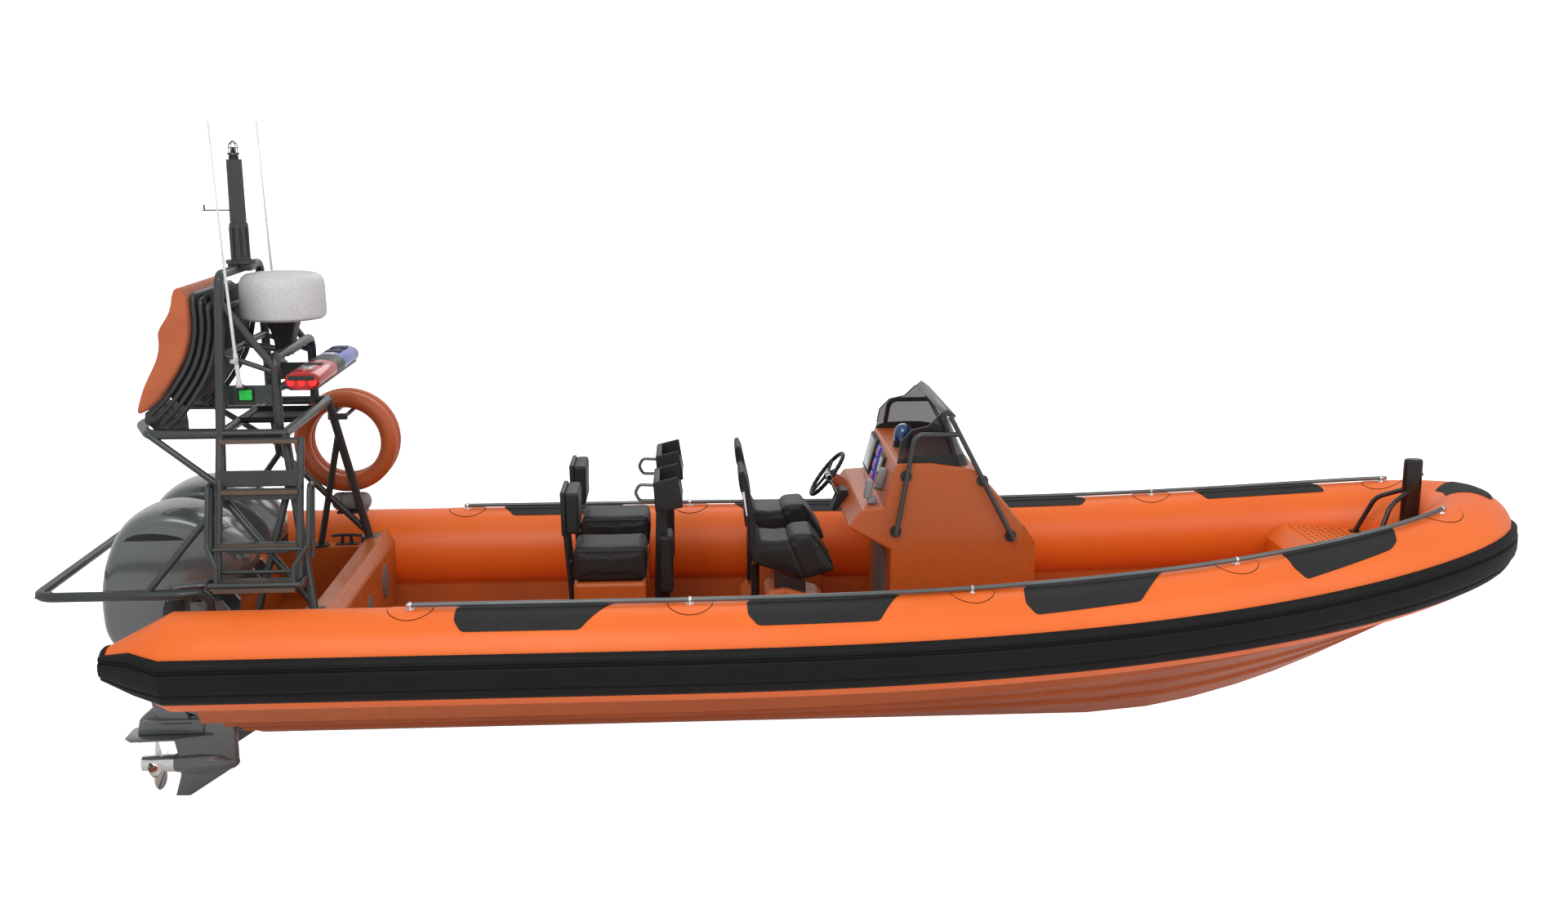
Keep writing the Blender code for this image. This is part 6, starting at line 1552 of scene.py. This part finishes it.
# Windscreen.
# Smoked acrylic, bent round three sides of the dash, with a black band along its foot and a wide grey
# capping along the top of its front.
SCREEN = (
    (4.245, 0.565, 4.255, 0.563, 1.31), (4.275, 0.565, 4.272, 0.561, 1.400),
    (4.34, 0.562, 4.336, 0.553, 1.467),
    (4.45, 0.560, 4.436, 0.55, 1.49), (4.56, 0.555, 4.50, 0.54, 1.555), (4.63, 0.53, 4.535, 0.51, 1.574),
    (4.675, 0.48, 4.545, 0.46, 1.578), (4.70, 0.42, 4.548, 0.40, 1.58), (4.71, 0.20, 4.553, 0.20, 1.582),
    (4.712, 0.0, 4.555, 0.0, 1.583),
)


def dash_top(x):
    """Top of the console under the windscreen."""
    return 1.2666 - max(0.0, x - 4.45) * 0.166


def screen_line(share, lift=0.0):
    """Points round the windscreen at a share of its height, moved out by lift."""
    half = []
    for x, y, top_x, top_y, top_z in SCREEN:
        half.append(Vector((x, -y, dash_top(x))).lerp(Vector((top_x, -top_y, top_z)), share))
    line = half + [Vector((point.x, -point.y, point.z)) for point in reversed(half[:-1])]
    moved = []
    for i, point in enumerate(line):
        heading = line[min(len(line) - 1, i + 1)] - line[max(0, i - 1)]
        moved.append(point + Vector((heading.y, -heading.x, 0)).normalized() * lift)
    return moved


def add_screen_band(bm, low, high, inner, outer):
    """A strip of the windscreen between two shares of its height."""
    rings = []
    for a, b, c, d in zip(
        screen_line(low, inner), screen_line(high, inner), screen_line(high, outer), screen_line(low, outer),
    ):
        rings.append([a, b, c, d])
    add_loops(bm, rings)


smoked = finish(
    "smoked_acrylic", (0.026, 0.026, 0.028), (0.018, 0.018, 0.020), (0.05, 0.09), 40.0, 4.0, 0.3, 0.0,
    Alpha=0.66, Specular_IOR_Level=0.35,
)
bm = bmesh.new()
add_screen_band(bm, 0.19, 0.985, -0.008, 0.0)
add_piece("windscreen_acrylic", bm, smoked, ["windscreen"], smooth=30)
bm = bmesh.new()
add_screen_band(bm, 0.0, 0.20, -0.010, 0.002)
add_piece("windscreen_foot_band", bm, black_plastic, smooth=30)
bm = bmesh.new()
add_profile(bm, [(4.512, 1.560), (4.545, 1.589), (4.604, 1.546), (4.588, 1.530)], -0.545, 0.545, 0.006, 2)
add_bent_bar(bm, screen_line(0.985, -0.004), 0.0042)
add_piece("windscreen_edge", bm, frame_paint)


# Bow locker tread and towing post.
# A raised studded tread on the locker's lid, and an oval post of dark stainless steel with two bent
# braces, each on a flange.
LOCKER_LID_Z = 0.60
POST_X = 7.683
locker_orange = finish(
    "bright_locker_gelcoat", (0.86, 0.165, 0.014), (0.72, 0.115, 0.008), (0.32, 0.42), 420.0, 1.6, 0.6, 0.05,
    Coat_Weight=0.20, Coat_Roughness=0.20, Specular_IOR_Level=0.35,
)
paint(locker_orange, "bow_locker")
bm = bmesh.new()
tread = [(7.02, -0.36), (7.02, 0.36), (7.34, 0.26), (7.34, -0.26)]
add_plan(bm, tread, LOCKER_LID_Z - 0.001, LOCKER_LID_Z + 0.008, 0.003)
add_piece("locker_tread", bm, locker_orange)
# Painted shade: black discs stand for the holes in the tread.
bm = bmesh.new()
for row in range(7):
    x = 7.055 + 0.042 * row
    reach = 0.33 - 0.30 * (x - 7.02)
    for column in range(11):
        y = -reach + 2 * reach * (column + (0.5 if row % 2 else 0.0)) / 11
        add_bar(bm, (x, y, LOCKER_LID_Z + 0.004), (x, y, LOCKER_LID_Z + 0.0086), 0.009, sides=10)
add_piece("locker_tread_holes", bm, black_and_painted_shade)
dark_steel = finish(
    "dark_stainless", (0.070, 0.060, 0.058), (0.040, 0.036, 0.035), (0.16, 0.26), 260.0, 3.0, 0.4, 0.03,
    Metallic=0.85,
)
bm = bmesh.new()
rings = []
for z, size in (
    (0.6003, 1.0), (0.70, 1.0), (0.90, 1.0), (1.090, 1.0), (1.108, 0.975), (1.119, 0.92), (1.123, 0.80),
):
    angles = [math.pi * step / 20 for step in range(40)]
    half_x, half_y = 0.062 * size, 0.045 * size
    rings.append([(POST_X + half_x * math.cos(angle), half_y * math.sin(angle), z) for angle in angles])
add_loops(bm, rings)
for side in (-1, 1):
    add_bent_bar(
        bm, [(7.65, side * 0.03, 0.915), (7.50, side * 0.115, 0.845), (7.40, side * 0.165, 0.603)], 0.016,
        0.12,
    )
    add_bar(bm, (7.40, side * 0.165, 0.6003), (7.40, side * 0.165, 0.610), 0.040, sides=28)
    add_bar(bm, (7.66, side * 0.042, 0.905), (7.66, side * 0.048, 0.905), 0.024, sides=24)
add_bar(bm, (7.735, 0, 1.02), (7.750, 0, 1.02), 0.012)
add_block(bm, (7.60, -0.08, 0.6003), (7.72, 0.08, 0.615), 0.004)
add_piece("towing_post_steel", bm, dark_steel, ["towing_post"])


# Studio.
# A wide pale floor under the boat, even light from a pale sky and three large soft lamps, and a
# camera on the starboard side, a little above the boat.
FLOOR_Z = -0.85
SKY_LIGHT = 0.70
SKY_SEEN = 1.05
SENSOR_WIDTH = 36.0
IMAGE_WIDTH = 1920.0
FOCAL_PIXELS = 1949.39
CAMERA_PLACE = (3.034706, -9.820374, 3.274003)
CAMERA_PAN, CAMERA_DIP, CAMERA_ROLL = -3.304458, 11.91217, -0.14362
floor_paint = bpy.data.materials.new("pale_floor")
floor_paint.use_nodes = True
floor_shader = floor_paint.node_tree.nodes["Principled BSDF"]
floor_shader.inputs["Base Color"].default_value = (0.86, 0.86, 0.86, 1.0)
floor_shader.inputs["Roughness"].default_value = 0.9
floor_shader.inputs["Emission Color"].default_value = (1.0, 1.0, 1.0, 1.0)
floor_sight = floor_paint.node_tree.nodes.new("ShaderNodeLightPath")
floor_paint.node_tree.links.new(
    floor_sight.outputs["Is Camera Ray"], floor_shader.inputs["Emission Strength"],
)
bm = bmesh.new()
bmesh.ops.create_grid(bm, x_segments=1, y_segments=1, size=300.0, matrix=Matrix.Translation((0, 0, FLOOR_Z)))
ground = bpy.data.meshes.new("floor")
bm.to_mesh(ground)
bm.free()
ground.materials.append(floor_paint)
floor = bpy.data.objects.new("floor", ground)
scene.collection.objects.link(floor)
sky = bpy.data.worlds.new("studio_sky")
sky.use_nodes = True
sky.node_tree.nodes["Background"].inputs["Color"].default_value = (1.0, 1.0, 1.0, 1.0)
sky_sight = sky.node_tree.nodes.new("ShaderNodeLightPath")
sky_power = sky.node_tree.nodes.new("ShaderNodeMapRange")
sky_power.inputs["To Min"].default_value = SKY_LIGHT
sky_power.inputs["To Max"].default_value = SKY_SEEN
sky.node_tree.links.new(sky_sight.outputs["Is Camera Ray"], sky_power.inputs["Value"])
sky.node_tree.links.new(sky_power.outputs["Result"], sky.node_tree.nodes["Background"].inputs["Strength"])
scene.world = sky
scene.view_settings.view_transform = "Standard"
for name, place, aim, size, power in (
    ("key_lamp", (1.0, -9.0, 9.0), (3.5, 0.0, 0.3), 6.0, 420.0),
    ("fill_lamp", (11.0, -6.0, 6.0), (4.5, 0.0, 0.3), 6.0, 160.0),
    ("back_lamp", (4.0, 9.0, 8.0), (4.0, 0.0, 0.5), 7.0, 240.0),
):
    lamp = bpy.data.lights.new(name, "AREA")
    lamp.size = size
    lamp.energy = power
    holder = bpy.data.objects.new(name, lamp)
    holder.location = place
    holder.rotation_mode = "QUATERNION"
    holder.rotation_quaternion = (Vector(aim) - Vector(place)).to_track_quat("-Z", "Y")
    scene.collection.objects.link(holder)
lens_data = bpy.data.cameras.new("camera")
lens_data.sensor_width = SENSOR_WIDTH
lens_data.lens = FOCAL_PIXELS * SENSOR_WIDTH / IMAGE_WIDTH
lens_data.clip_end = 1000.0
camera = bpy.data.objects.new("camera", lens_data)
camera.location = CAMERA_PLACE
view_turn = Matrix.Rotation(math.radians(CAMERA_PAN), 4, "Z")
view_turn = view_turn @ Matrix.Rotation(math.radians(90 - CAMERA_DIP), 4, "X")
view_turn = view_turn @ Matrix.Rotation(math.radians(CAMERA_ROLL), 4, "Z")
camera.rotation_mode = "QUATERNION"
camera.rotation_quaternion = view_turn.to_quaternion()
scene.collection.objects.link(camera)
scene.camera = camera
